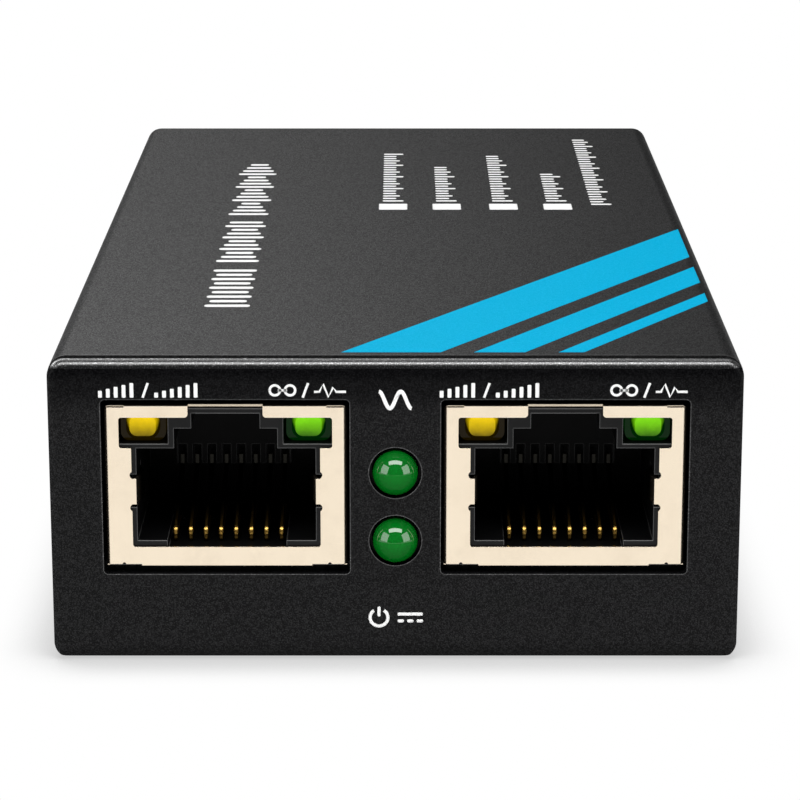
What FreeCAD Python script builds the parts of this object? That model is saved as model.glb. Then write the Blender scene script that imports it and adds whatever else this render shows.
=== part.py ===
"""Fibre media converter: a folded steel case with two network jacks at the front and a
fibre port at the back.

Frame: millimetres, +X to the right seen from the front, +Y to the back, +Z up.
The origin is the centre of the case's underside. Every piece is written to parts/ as a STEP
file of its own name.
"""
import FreeCAD, Part

import math
import os

from FreeCAD import Vector

# ---------------------------------------------------------------- case
case_width = 46.0
case_depth = 88.0
case_height = 21.0
sheet = 0.8                 # steel of the chassis and of the cover
bend_inside = 0.5           # inner radius of every fold in the case
panel_inset = 0.14          # the end panels' top lies this far below the roof's
panel_corner = 1.2          # radius of the end panels' corners, seen from the front
panel_edge_round = 0.6      # rounding of the end panels' outer rim
seam = 0.2                  # gap between each end panel and the cover's edge
skirt_lift = 0.2            # the cover's side walls stop this far above the underside
skirt_round = 0.6           # rounding of the side walls' lower outer edge
flange_height = 6.0
flange_length = 60.0
flange_gap = 0.1            # between a side flange and the cover's wall
flange_relief = 1.0         # notch in the base beside each flange's fold

# ---------------------------------------------------------------- screws
cover_screw_radius = 1.25
cover_screw_head = 2.3      # radius of the flush head
cover_screw_length = 3.4
cover_screw_along = 22.0    # distance from the middle of each side wall
cover_screw_height = 3.4
board_screw_radius = 1.5
board_screw_head = 2.8
board_screw_head_height = 1.9
board_screw_length = 4.6
thread_gap = 0.02
hole_gap = 0.1              # around a screw that passes a plain hole
recess_width = 0.5          # blades of the cross recess
recess_depth = 0.45

# ---------------------------------------------------------------- main board
standoff_height = 4.25
standoff_flats = 5.5        # across the flats of the hexagon
board_thickness = 1.6
board_side_gap = 0.4
board_end_gap = 0.5
pin_hole_gap = 0.15
lead_below_board = 1.0      # how far soldered leads reach under the board
seat_inset = 2.9            # from the board's side edges to its screws
seat_behind_jacks = 16.7
seat_back_inset = 4.7
seat_beside_port = 4.9

# ---------------------------------------------------------------- network jacks
jack_spacing = 22.5         # centre to centre
jack_width = 16.1
jack_height = 11.05
jack_length = 16.0
jack_recess = 0.3           # the jacks' faces lie this far behind the panel's face
jack_sheet = 0.2
jack_fold = 0.35            # outer radius of the shield's folds
jack_rim_step = 0.1         # the shield's face steps in by this at its corners
jack_rim_corner = 1.35      # width of the upper stepped corners
jack_rim_foot = 2.35        # width of the lower stepped corners
jack_rim_nick = 0.12        # radius of the nick in each lower stepped corner
cutout_side_gap = 0.18
cutout_end_gap = 0.5
cutout_corner = 0.3
# Heights in a jack are above the board, widths are from the jack's middle.
mouth_half = 6.265
mouth_bottom = 1.3
mouth_top = 8.15
mouth_corner = 0.18
finger_low = 4.27
finger_high = 6.04
finger_edge = 5.97
finger_notch = 0.25         # radius of the round notch at each side of a spring finger
finger_length = 3.4
finger_bow = 0.42
window_outer = 7.07
window_top = 10.25
shield_slot_half = 2.48
shield_slot_corner = 0.24
shield_slot_reach = 0.5     # the latch slot runs this far into the shield's roof
tail_width = 1.6
tail_from_face = 8.0
insert_gap = 0.02
cavity_half = 5.96
cavity_floor = 1.7          # top of the ledges that carry the plug
cavity_height = 6.4
cavity_depth = 11.5
trough_half = 3.98
trough_floor = 0.95
step_half = 3.43
step_top = 9.46
slot_half = 2.27
slot_top = 10.5
slot_depth = 9.0
pocket_inner = 3.82
pocket_outer = 7.2
pocket_floor = 8.4
comb_depth = 1.3
comb_bottom = 4.2
comb_slot = 0.6
comb_slot_top = 5.6
peg_radius = 1.6
peg_length = 1.4
peg_gap = 0.05
peg_spacing = 11.43
peg_from_face = 10.5

# ---------------------------------------------------------------- jack contacts
contact_count = 8
contact_pitch = 1.02
contact_width = 0.3
contact_thickness = 0.3
contact_fold = 0.4          # radius of the hairpin at the wire's middle line
contact_corner = 0.1        # where the two legs would meet, behind the jack's face
contact_tip = 10.1
contact_tip_low = 4.15       # where the free end turns upright
contact_tip_height = 4.95
contact_rows = (7.4, 9.94)  # the two staggered rows of tails

# ---------------------------------------------------------------- jack lamps
jack_lamp_off = 5.5         # from the jack's middle
jack_lamp_width = 3.0
jack_lamp_height = 2.1
jack_lamp_length = 4.2
jack_lamp_from_face = 1.0
jack_lamp_corner = 0.6
jack_lens_width = 2.24
jack_lens_reach = 0.55      # how far the lens stands out of the lamp's body
jack_lens_low = 0.2         # its lower edge above the body's
jack_lens_corner = 0.75
jack_lens_bevel = 0.25
lamp_lead = 0.4
jack_lamp_lead_spacing = 1.27
jack_lamp_lead_row = 13.0

# ---------------------------------------------------------------- front lamps
lamp_radius = 1.5
lamp_flange = 1.65
lamp_flange_length = 1.0
lamp_length = 3.8           # from the dome's centre to the flange
lamp_set_back = 0.2         # dome's centre behind the panel's face
lamp_hole_gap = 0.25
lamp_heights = {"upper": 6.53, "lower": 1.84}   # above the board
lamp_bore_gap = 0.05
lamp_lead_spacing = 2.54
lamp_lead_width = 0.5
lamp_lead_runs = {"upper": 2.6, "lower": 1.3}   # straight run behind each flange
holder_width = 3.9
holder_height = 8.6
holder_front_gap = 0.1

# ---------------------------------------------------------------- fibre module
module_x = -6.5
module_width = 25.4
module_height = 9.8
module_length = 27.0
module_edge = 0.8
port_width = 12.4
port_height = 9.6
port_length = 12.1
port_edge = 0.5
port_cavity_width = 9.15
port_cavity_height = 7.5
port_cavity_depth = 11.0
port_key_width = 2.4
port_key_depth = 0.7
port_cutout_gap = 0.25
sleeve_radius = 1.6
sleeve_bore = 1.25
sleeve_slit = 0.4
sleeve_length = 6.2
latch_plate = 1.0
latch_gap = 0.1
latch_collar = 0.75         # wall around the sleeve
latch_collar_length = 5.4
latch_arm_width = 3.0
latch_arm_thickness = 0.7
latch_arm_length = 6.4
latch_hook = 0.45
module_pin_count = 9
module_pin_pitch = 2.54
module_pin_width = 0.5
module_pin_inset = 2.5

# ---------------------------------------------------------------- power inlet
inlet_x = 14.0
inlet_width = 9.0
inlet_height = 11.0
inlet_length = 14.2
inlet_axis = 6.4            # height of the barrel above the board
inlet_bore = 3.1
inlet_depth = 9.5
inlet_panel_gap = 0.1
inlet_hole = 3.9
inlet_pin = 1.0
inlet_pin_length = 8.6
inlet_spring_width = 2.0
inlet_spring_thickness = 0.3

# ---------------------------------------------------------------- parts on the board
part_gap = 1.0              # between neighbours in a row of parts
transformer_size = (12.7, 7.2, 5.8)
transformer_behind_jack = 4.1
transformer_lead_pitch = 1.27
transformer_lead_count = 8
chip_size = (7.0, 7.0, 1.4)
chip_lead_count = 8         # on each side
chip_lead_pitch = 0.8
seat_gap = 0.1              # between a chip's body and the board
gull_reach = 1.0
gull_thickness = 0.15
crystal_size = (4.7, 11.5, 3.5)
capacitor_radius = 3.15
capacitor_height = 5.5
capacitor_base = 0.9
capacitor_rim = 0.1         # the base stands out this far around the can
inductor_size = (7.0, 7.0, 4.0)
regulator_size = (6.5, 3.5, 1.6)
small_part_size = (1.25, 2.0, 0.6)
small_part_pitch = 2.6

# ---------------------------------------------------------------- planes worked out once
front_face = -case_depth / 2
back_face = case_depth / 2
front_inside = front_face + sheet
back_inside = back_face - sheet
bend_outside = bend_inside + sheet
wall_inside = case_width / 2 - sheet
base_half = wall_inside - flange_gap
board_low = sheet + standoff_height
board_top = board_low + board_thickness
board_half = base_half - sheet - board_side_gap
jack_face = front_face + jack_recess
jack_x = {"left": -jack_spacing / 2, "right": jack_spacing / 2}
lead_end = -board_thickness - lead_below_board      # measured from the board's top
cavity_top = cavity_floor + cavity_height
board_front = front_inside + board_end_gap
board_back = back_inside - board_end_gap
jack_back = jack_face + jack_length
port_z = board_top + module_height - port_height / 2
inlet_z = board_top + inlet_axis
inlet_back = back_inside - inlet_panel_gap
inlet_front = inlet_back - inlet_length

# ---------------------------------------------------------------- places on the board
seat_x = board_half - seat_inset
seat_front = jack_back + seat_behind_jacks
seat_back = board_back - seat_back_inset
seat_places = [(-seat_x, seat_front), (seat_x, seat_front), (-seat_x, seat_back),
               (module_x + port_width / 2 + seat_beside_port, seat_back)]
transformer_y = jack_back + transformer_behind_jack + transformer_size[1] / 2
chip_place = (0.0, transformer_y + transformer_size[1] / 2 + chip_size[1] / 2 + 2 * gull_reach + part_gap)
chip_edge = chip_size[0] / 2 + gull_reach
small_part_x = chip_edge + part_gap + small_part_size[0] / 2
crystal_x = small_part_x + part_gap + (small_part_size[0] + crystal_size[0]) / 2
crystal_place = (crystal_x, transformer_y + transformer_size[1] / 2 + gull_reach + crystal_size[1] / 2)
capacitor_half = capacitor_radius + capacitor_rim
capacitor_y = inlet_front - part_gap - capacitor_half
capacitor_places = [(-crystal_x, crystal_place[1]), (inlet_x, capacitor_y)]
inductor_place = (inlet_x, capacitor_y - capacitor_half - part_gap - inductor_size[1] / 2)
regulator_place = (inlet_x, inductor_place[1] - part_gap - (inductor_size[1] + regulator_size[1]) / 2)
small_part_row = regulator_place[1] - part_gap - (regulator_size[1] + small_part_size[1]) / 2


# ---------------------------------------------------------------- drawing helpers
def about(middle, width):
    """Span of a given width around a middle value."""
    return middle - width / 2, middle + width / 2


def block(x, y, z):
    """Box from three (low, high) spans."""
    return Part.makeBox(x[1] - x[0], y[1] - y[0], z[1] - z[0], Vector(x[0], y[0], z[0]))


def rod(axis, radius, at, span):
    """Cylinder along one axis. `at` holds the two other coordinates in x, y, z order."""
    low, length = span[0], span[1] - span[0]
    starts = {"x": (low, *at), "y": (at[0], low, at[1]), "z": (*at, low)}
    directions = {"x": Vector(1, 0, 0), "y": Vector(0, 1, 0), "z": Vector(0, 0, 1)}
    return Part.makeCylinder(radius, length, Vector(*starts[axis]), directions[axis])


def rounded_loop(corners):
    """Closed wire in the XY plane through (a, b, radius) corners, rounded where asked."""
    points = [Vector(a, b, 0) for a, b, radius in corners]
    ends, arcs = [], []
    for i, (a, b, radius) in enumerate(corners):
        at = points[i]
        if radius <= 0:
            ends.append((at, at))
            arcs.append(None)
            continue
        before = (points[i - 1] - at).normalize()
        after = (points[(i + 1) % len(points)] - at).normalize()
        half = before.getAngle(after) / 2
        reach = radius / math.tan(half)
        inward = (before + after).normalize()
        middle = at + inward * (radius / math.sin(half) - radius)
        ends.append((at + before * reach, at + after * reach))
        arcs.append(middle)
    edges = []
    for i, (start, stop) in enumerate(ends):
        if arcs[i] is not None:
            edges.append(Part.Arc(start, arcs[i], stop).toShape())
        following = ends[(i + 1) % len(ends)][0]
        if (following - stop).Length > 1e-7:
            edges.append(Part.makeLine(stop, following))
    return Part.Wire(edges)


def prism(axis, corners, span):
    """Solid with a rounded outline, extruded along one axis.

    The outline's coordinates are (y, z) for "x", (x, z) for "y" and (x, y) for "z".
    """
    solid = Part.Face(rounded_loop(corners)).extrude(Vector(0, 0, span[1] - span[0]))
    if axis == "x":
        rows = (0, 0, 1, span[0], 1, 0, 0, 0, 0, 1, 0, 0)
    elif axis == "y":
        rows = (1, 0, 0, 0, 0, 0, -1, span[1], 0, 1, 0, 0)
    else:
        rows = (1, 0, 0, 0, 0, 1, 0, 0, 0, 0, 1, span[0])
    return placed(solid, rows)


def placed(solid, rows):
    """Copy of a solid, moved by the three rows of a rigid matrix."""
    copy = solid.copy()
    copy.Placement = FreeCAD.Placement(FreeCAD.Matrix(*rows, 0, 0, 0, 1))
    return copy


def strip_outline(points, folds, thickness):
    """Outline of a bent strip from its middle line and the fold radius at each inner point."""
    line = [Vector(a, b, 0) for a, b in points]
    sides = []
    for sign in (1, -1):
        side = []
        for i, at in enumerate(line):
            normals = []
            for first, second in ((i - 1, i), (i, i + 1)):
                if first >= 0 and second < len(line):
                    along = (line[second] - line[first]).normalize()
                    normals.append(Vector(-along.y, along.x, 0))
            mean = sum(normals[1:], normals[0]).normalize()
            shift = sign * thickness / 2 / mean.dot(normals[0])
            radius = 0.0
            if len(normals) == 2 and folds[i - 1] > 0:
                turn = normals[0].cross(normals[1]).z
                inner = 1 if turn * sign > 0 else -1
                radius = max(folds[i - 1] - inner * thickness / 2, 0.0)
            moved = at + mean * shift
            side.append((moved.x, moved.y, radius))
        sides.append(side)
    return sides[0] + sides[1][::-1]


def strip(axis, points, folds, thickness, span):
    """Bent strip of sheet or flat wire, as wide as the span along the axis."""
    return prism(axis, strip_outline(points, folds, thickness), span)


def rectangle(a, b, radius=0.0):
    """Corners of a rectangle between two (low, high) spans."""
    return [(a[0], b[0], radius), (a[1], b[0], radius), (a[1], b[1], radius), (a[0], b[1], radius)]


def fuse(shapes):
    """One solid from shapes that touch or overlap."""
    return shapes[0].fuse(shapes[1:]).removeSplitter()


def cut(shape, tools):
    """Shape less all of the tools."""
    return shape.cut(tools) if tools else shape


def rim_edges(shape, axis, value):
    """Edges that lie in the plane where one axis has a given value."""
    low, high = {"x": ("XMin", "XMax"), "y": ("YMin", "YMax"), "z": ("ZMin", "ZMax")}[axis]
    return [edge for edge in shape.Edges
            if abs(getattr(edge.BoundBox, low) - value) < 1e-6
            and abs(getattr(edge.BoundBox, high) - value) < 1e-6]


def edges_along(shape, axis):
    """Straight edges parallel to one axis."""
    names = {"x": ("YLength", "ZLength"), "y": ("XLength", "ZLength"), "z": ("XLength", "YLength")}
    return [edge for edge in shape.Edges
            if all(getattr(edge.BoundBox, name) < 1e-6 for name in names[axis])]


def cross_recess(half):
    """Cross-shaped tool, centred on the origin, for a recess along Z below z = 0."""
    depth = (-recess_depth, recess_depth)
    blade = block((-half, half), about(0, recess_width), depth)
    other = block(about(0, recess_width), (-half, half), depth)
    return blade.fuse(other)


def save(name, *solids):
    """Write one node. Several solids stay separate in the same file."""
    shape = solids[0] if len(solids) == 1 else Part.makeCompound(list(solids))
    if len(shape.Solids) == 1:
        shape = shape.Solids[0]
    shape.exportStep("parts/%s.step" % name)


# ---------------------------------------------------------------- case
def end_outline():
    """Prism with the end panels' rounded outline, over the case's whole depth."""
    half = case_width / 2
    corners = rectangle((-half, half), (0, case_height - panel_inset), panel_corner)
    solid = prism("y", corners, (front_face, back_face))
    rims = rim_edges(solid, "y", front_face) + rim_edges(solid, "y", back_face)
    return solid.makeFillet(panel_edge_round, rims)


def folded_tray(plane, low, high, height, span):
    """U-shaped sheet: a floor with a wall folded up at each side."""
    outer = [(low, height, 0), (low, 0, bend_outside), (high, 0, bend_outside), (high, height, 0)]
    inner = [(high - sheet, height, 0), (high - sheet, sheet, bend_inside),
             (low + sheet, sheet, bend_inside), (low + sheet, height, 0)]
    return prism(plane, outer + inner, span)


def chassis():
    """Base, end panels and side flanges, folded from one sheet."""
    full = (-case_width / 2, case_width / 2)
    folded = folded_tray("x", front_face, back_face, case_height, full)
    body = folded.common(end_outline())
    high = (-1, case_height + 1)
    between = (front_inside, back_inside)
    fold_strip = (flange_length + 2 * flange_relief) / 2
    for side in (-1, 1):
        outer = sorted((side * base_half, side * case_width))
        body = body.cut(block(outer, between, high))
        beside = sorted((side * (base_half - bend_outside), side * case_width))
        body = body.cut(block(beside, (-fold_strip, fold_strip), high))
    flanges = folded_tray("y", -base_half, base_half, flange_height, about(0, flange_length))
    body = fuse([body, flanges])
    tools = []
    for x in jack_x.values():
        wide = about(x, jack_width + 2 * cutout_side_gap)
        tall = (board_top - cutout_end_gap, board_top + jack_height + cutout_end_gap)
        tools.append(prism("y", rectangle(wide, tall, cutout_corner),
                           (front_face - 1, front_inside + 1)))
    for height in lamp_heights.values():
        radius = lamp_radius + lamp_hole_gap
        tools.append(rod("y", radius, (0, board_top + height), (front_face - 1, front_inside + 1)))
    behind = (back_inside - 1, back_face + 1)
    tools.append(block(about(module_x, port_width + 2 * port_cutout_gap), behind,
                       about(port_z, port_height + 2 * port_cutout_gap)))
    tools.append(rod("y", inlet_hole, (inlet_x, inlet_z), behind))
    for along in (-cover_screw_along, cover_screw_along):
        radius = cover_screw_radius + thread_gap
        tools.append(rod("x", radius, (along, cover_screw_height), (-case_width, case_width)))
    return cut(body, tools)


def cover_screw(side, along):
    """Flush screw through the cover's wall into a side flange."""
    face = case_width / 2
    neck = cover_screw_head - sheet
    head = Part.makeCone(cover_screw_head, neck, sheet, Vector(0, 0, 0), Vector(0, 0, -1))
    shank = rod("z", cover_screw_radius, (0, 0), (-cover_screw_length, -sheet))
    screw = head.fuse(shank).removeSplitter().cut(cross_recess(cover_screw_head * 0.55))
    tilt = FreeCAD.Rotation(Vector(0, 1, 0), side * 90)
    screw.Placement = FreeCAD.Placement(Vector(side * face, along, cover_screw_height), tilt)
    return screw


def top_cover():
    """Roof and side walls, folded from one sheet, with countersunk holes."""
    half, inside, top = case_width / 2, wall_inside, case_height
    corners = [(-half, skirt_lift, skirt_round), (-half, top, bend_outside),
               (half, top, bend_outside), (half, skirt_lift, skirt_round),
               (inside, skirt_lift, 0), (inside, top - sheet, bend_inside),
               (-inside, top - sheet, bend_inside), (-inside, skirt_lift, 0)]
    shell = prism("y", corners, (front_inside + seam, back_inside - seam))
    tools = []
    for side in (-1, 1):
        for along in (-cover_screw_along, cover_screw_along):
            rim = cover_screw_head + thread_gap
            cone = Part.makeCone(rim, rim - sheet, sheet, Vector(side * half, along, cover_screw_height),
                                 Vector(-side, 0, 0))
            tools.append(cone)
    return cut(shell, tools)


def standoff(x, y):
    """Hexagonal post welded to the base, with a tapped hole from above."""
    reach = standoff_flats / math.sqrt(3)
    turns = [math.radians(60 * i + 30) for i in range(6)]
    corners = [(x + reach * math.cos(turn), y + reach * math.sin(turn), 0) for turn in turns]
    bore = rod("z", board_screw_radius + thread_gap, (x, y), (sheet, board_low + 1))
    return prism("z", corners, (sheet, board_low)).cut(bore)


def board_screw(x, y):
    """Pan-head screw that holds the board on a standoff."""
    shank = rod("z", board_screw_radius, (0, 0), (-board_screw_length, 0))
    head = rod("z", board_screw_head, (0, 0), (0, board_screw_head_height))
    head = head.makeChamfer(board_screw_head_height / 3,
                            rim_edges(head, "z", board_screw_head_height))
    screw = head.fuse(shank).removeSplitter()
    screw.translate(Vector(x, y, board_top))
    return screw


# ---------------------------------------------------------------- network jack
def in_jack(solid, side):
    """Move a solid from the jack's own frame to its place in the case."""
    moved = solid.copy()
    moved.translate(Vector(jack_x[side], jack_face, board_top))
    return moved


def both_sides(solid):
    """A solid and its mirror image across the jack's middle plane."""
    return [solid, solid.mirror(Vector(0, 0, 0), Vector(1, 0, 0))]


def mouth_corners():
    """Outline of the opening in the shield's face."""
    right = [(mouth_half, mouth_bottom, mouth_corner), (mouth_half, finger_low, 0),
             (finger_edge, finger_low, 0), (finger_edge, finger_high, 0),
             (mouth_half, finger_high, 0), (mouth_half, mouth_top, 0),
             (window_outer, mouth_top, mouth_corner), (window_outer, window_top, mouth_corner),
             (shield_slot_half, window_top, shield_slot_corner),
             (shield_slot_half, jack_height - jack_sheet, 0)]
    left = [(-x, z, radius) for x, z, radius in reversed(right)]
    return right + left


def spring_finger():
    """Sprung tongue that folds back from the face into the plug's way."""
    middle = finger_edge + jack_sheet / 2
    plane = jack_sheet / 2
    points = [(mouth_half + finger_notch, plane), (middle, plane),
              (middle - finger_bow, finger_length * 0.6), (middle, finger_length)]
    return strip("z", points, [jack_sheet, 2 * jack_sheet], jack_sheet, (finger_low, finger_high))


def jack_shield():
    """Stamped and folded shield: face, roof, sides and back, open below."""
    half = jack_width / 2
    shell = block((-half, half), (0, jack_length), (0, jack_height))
    folds = edges_along(shell, "z")
    folds += [edge for edge in edges_along(shell, "y") if edge.BoundBox.ZMin > jack_height / 2]
    shell = shell.makeFillet(jack_fold, folds)
    inside = half - jack_sheet
    shell = shell.cut(block((-inside, inside), (jack_sheet, jack_length - jack_sheet),
                            (-1, jack_height - jack_sheet)))
    tools = [prism("y", mouth_corners(), (-1, jack_sheet)),
             block(about(0, 2 * shield_slot_half), (-1, shield_slot_reach),
                   (window_top + shield_slot_corner, jack_height + 1))]
    tools += both_sides(block((half - jack_rim_corner, half), (-1, jack_sheet),
                              (jack_height - jack_rim_step, jack_height + 1)))
    tools += both_sides(block((half - jack_rim_foot, half), (-1, jack_sheet),
                              (-1, jack_rim_step)))
    tools += both_sides(rod("y", jack_rim_nick, (half - jack_rim_foot / 2, jack_rim_step),
                            (-1, jack_sheet + 1)))
    notch_x = mouth_half + 0.135 - finger_notch
    for height in (finger_low - finger_notch, finger_high + finger_notch):
        notch = rod("y", finger_notch, (notch_x, height), (-1, jack_sheet + 1))
        tools += both_sides(notch)
    tail = block((inside, half), about(tail_from_face, tail_width), (lead_end, jack_sheet))
    return fuse([cut(shell, tools)] + both_sides(spring_finger()) + both_sides(tail))


def contact_places():
    """Offset from the jack's middle and row of each contact."""
    first = -(contact_count - 1) / 2 * contact_pitch
    return [(first + i * contact_pitch, contact_rows[i % 2]) for i in range(contact_count)]


def jack_insert():
    """Moulded insert with the plug's stepped cavity, the lamp pockets and the comb."""
    half = jack_width / 2 - jack_sheet - insert_gap
    front = jack_sheet + insert_gap
    back = jack_length - front
    top = jack_height - jack_sheet - insert_gap
    body = block((-half, half), (front, back), (0, top))
    cavity = [(-cavity_half, cavity_floor, 0), (-trough_half, cavity_floor, 0),
              (-trough_half, trough_floor, 0), (trough_half, trough_floor, 0),
              (trough_half, cavity_floor, 0), (cavity_half, cavity_floor, 0),
              (cavity_half, cavity_top, 0), (-cavity_half, cavity_top, 0)]
    tools = [prism("y", cavity, (0, cavity_depth)),
             block((-step_half, step_half), (0, slot_depth), (cavity_floor, step_top)),
             block((-slot_half, slot_half), (0, slot_depth), (cavity_floor, slot_top))]
    pocket = block((pocket_inner, pocket_outer), (0, jack_lamp_lead_row + 2 * lamp_lead),
                   (pocket_floor, jack_height))
    tools += both_sides(pocket)
    lead_well = block(about(jack_lamp_off, jack_lamp_lead_spacing + 3 * lamp_lead),
                      about(jack_lamp_lead_row, 4 * lamp_lead), (-1, jack_height))
    tools += both_sides(lead_well)
    finger_room = block((0, finger_edge + 3 * jack_sheet), (0, finger_length + 2 * jack_sheet),
                        (finger_low - finger_notch, finger_high + finger_notch))
    tools += both_sides(finger_room)
    body = cut(body, tools)
    comb = block((-trough_half, trough_half), (cavity_depth - comb_depth, cavity_depth),
                 (comb_bottom, cavity_top))
    pegs = [rod("z", peg_radius, (x, peg_from_face), (-peg_length, trough_floor))
            for x in about(0, peg_spacing)]
    body = fuse([body, comb] + pegs)
    slots = []
    for x, row in contact_places():
        slots.append(block(about(x, comb_slot), (0, cavity_depth - comb_depth / 4),
                           (comb_bottom - 1, comb_slot_top)))
        slots.append(block(about(x, comb_slot), about(row, comb_slot), (-1, trough_floor)))
    return cut(body, slots)


def jack_contacts():
    """Eight formed wires: a sprung leg, a hairpin, a foot on the floor and a tail."""
    foot = trough_floor + contact_thickness / 2
    wires = []
    for x, row in contact_places():
        points = [(contact_tip, contact_tip_height), (contact_tip, contact_tip_low),
                  (contact_corner, foot), (row, foot), (row, lead_end)]
        wires.append(strip("x", points, [0, contact_fold, 0], contact_thickness,
                           about(x, contact_width)))
    return wires


def jack_lamp():
    """Moulded lamp of a jack, with a rounded bar of a lens at its front."""
    low = pocket_floor + insert_gap
    high = low + jack_lamp_height
    wide = about(jack_lamp_off, jack_lamp_width)
    body = prism("y", rectangle(wide, (low, high), jack_lamp_corner),
                 (jack_lamp_from_face, jack_lamp_from_face + jack_lamp_length))
    wide = about(jack_lamp_off, jack_lens_width)
    front = jack_lamp_from_face - jack_lens_reach
    lens = prism("y", rectangle(wide, (low + jack_lens_low, high), jack_lens_corner),
                 (front, jack_lamp_from_face))
    lens = lens.makeChamfer(jack_lens_bevel, rim_edges(lens, "y", front))
    return fuse([body, lens])


def jack_lamp_leads():
    """Two bent legs for each of a jack's lamps."""
    start = jack_lamp_from_face + jack_lamp_length
    height = pocket_floor + insert_gap + jack_lamp_height / 2
    points = [(start, height), (jack_lamp_lead_row, height), (jack_lamp_lead_row, lead_end)]
    leads = []
    for side in (-1, 1):
        for x in about(side * jack_lamp_off, jack_lamp_lead_spacing):
            leads.append(strip("x", points, [lamp_lead], lamp_lead, about(x, lamp_lead)))
    return leads


def write_jack(side):
    """Write the nodes of one network jack."""
    save(side + "_jack_shield", in_jack(jack_shield(), side))
    save(side + "_jack_insert", in_jack(jack_insert(), side))
    save(side + "_jack_contacts", *[in_jack(wire, side) for wire in jack_contacts()])
    green, amber = both_sides(jack_lamp())
    save(side + "_jack_amber_lamp", in_jack(amber, side))
    save(side + "_jack_green_lamp", in_jack(green, side))
    save(side + "_jack_lamp_leads", *[in_jack(lead, side) for lead in jack_lamp_leads()])


# ---------------------------------------------------------------- front lamps
def front_lamp(height):
    """Round lamp with a domed nose and a flange at its back."""
    z = board_top + height
    centre = front_face + lamp_set_back
    dome = Part.makeSphere(lamp_radius, Vector(0, centre, z))
    barrel = rod("y", lamp_radius, (0, z), (centre, centre + lamp_length))
    flange = rod("y", lamp_flange, (0, z), (centre + lamp_length,
                                            centre + lamp_length + lamp_flange_length))
    return fuse([dome, barrel, flange])


def lamp_holder():
    """Moulding that stands on the board and carries both lamps."""
    front = front_inside + holder_front_gap
    seat = front_face + lamp_set_back + lamp_length
    back = seat + lamp_flange_length
    body = block(about(0, holder_width), (front, back), (board_top, board_top + holder_height))
    body = body.makeFillet(holder_front_gap * 4, [edge for edge in edges_along(body, "y")
                                                  if edge.BoundBox.ZMin > board_top + 1])
    tools = []
    for height in lamp_heights.values():
        z = board_top + height
        tools.append(rod("y", lamp_radius + lamp_bore_gap, (0, z), (front - 1, seat)))
        tools.append(rod("y", lamp_flange + lamp_bore_gap, (0, z), (seat, back + 1)))
    return cut(body, tools)


def lamp_leads():
    """Two legs for each front lamp, bent down into the board."""
    start = front_face + lamp_set_back + lamp_length + lamp_flange_length
    leads = []
    for name, height in lamp_heights.items():
        row = start + lamp_lead_runs[name]
        z = board_top + height
        for x in about(0, lamp_lead_spacing):
            points = [(start, z), (row, z), (row, board_top + lead_end)]
            leads.append(strip("x", points, [lamp_lead_width], lamp_lead_width,
                               about(x, lamp_lead_width)))
    return leads


# ---------------------------------------------------------------- fibre module
def module_case():
    """Sealed body of the fibre module."""
    back = back_face - port_length
    body = block(about(module_x, module_width), (back - module_length, back),
                 (board_top, board_top + module_height))
    body = body.makeFillet(module_edge, edges_along(body, "z"))
    return body.makeChamfer(module_edge / 2, rim_edges(body, "z", board_top + module_height))


def port_shell():
    """Moulded receptacle of the fibre port, with a key slot in its roof."""
    span = (back_face - port_length, back_face)
    wide, tall = about(module_x, port_width), about(port_z, port_height)
    shell = prism("y", rectangle(wide, tall, port_edge), span)
    inside = (back_face - port_cavity_depth, back_face + 1)
    cavity = block(about(module_x, port_cavity_width), inside, about(port_z, port_cavity_height))
    key_top = port_z + port_cavity_height / 2 + port_key_depth
    key = block(about(module_x, port_key_width), inside, (port_z, key_top))
    return cut(shell, [cavity, key])


def port_latch():
    """Latch piece at the bottom of the port: a plate, two hooked arms and a collar."""
    back = back_face - port_cavity_depth
    wide = port_cavity_width - 2 * latch_gap
    tall = port_cavity_height - 2 * latch_gap
    plate = block(about(module_x, wide), (back, back + latch_plate), about(port_z, tall))
    pieces = [plate]
    for side in (-1, 1):
        outer = side * wide / 2
        inner = outer - side * latch_arm_thickness
        tip = back + latch_arm_length
        hook = inner - side * latch_hook
        ramp = 2 * latch_hook
        corners = [(outer, back, 0), (outer, tip, 0), (inner, tip, 0), (hook, tip - ramp, 0),
                   (hook, tip - 2 * ramp, 0), (inner, tip - 2 * ramp, 0), (inner, back, 0)]
        arm = prism("z", [(x + module_x, y, r) for x, y, r in corners],
                    about(port_z, latch_arm_width))
        pieces.append(arm)
    bore = sleeve_radius + thread_gap
    pieces.append(rod("y", bore + latch_collar, (module_x, port_z),
                      (back, back + latch_collar_length)))
    return fuse(pieces).cut(rod("y", bore, (module_x, port_z), (back - 1, back_face)))


def port_sleeve():
    """Slit ceramic sleeve that lines up the fibre's ferrule."""
    span = (back_face - port_cavity_depth, back_face - port_cavity_depth + sleeve_length)
    place = (module_x, port_z)
    tube = rod("y", sleeve_radius, place, span).cut(rod("y", sleeve_bore, place, span))
    return tube.cut(block(about(module_x, sleeve_slit), span, (port_z, port_z + 2 * sleeve_radius)))


def module_pins():
    """Row of legs under the fibre module."""
    row = back_face - port_length - module_length + module_pin_inset
    first = module_x - (module_pin_count - 1) / 2 * module_pin_pitch
    return [block(about(first + i * module_pin_pitch, module_pin_width),
                  about(row, module_pin_width), (board_top + lead_end, board_top))
            for i in range(module_pin_count)]


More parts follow.
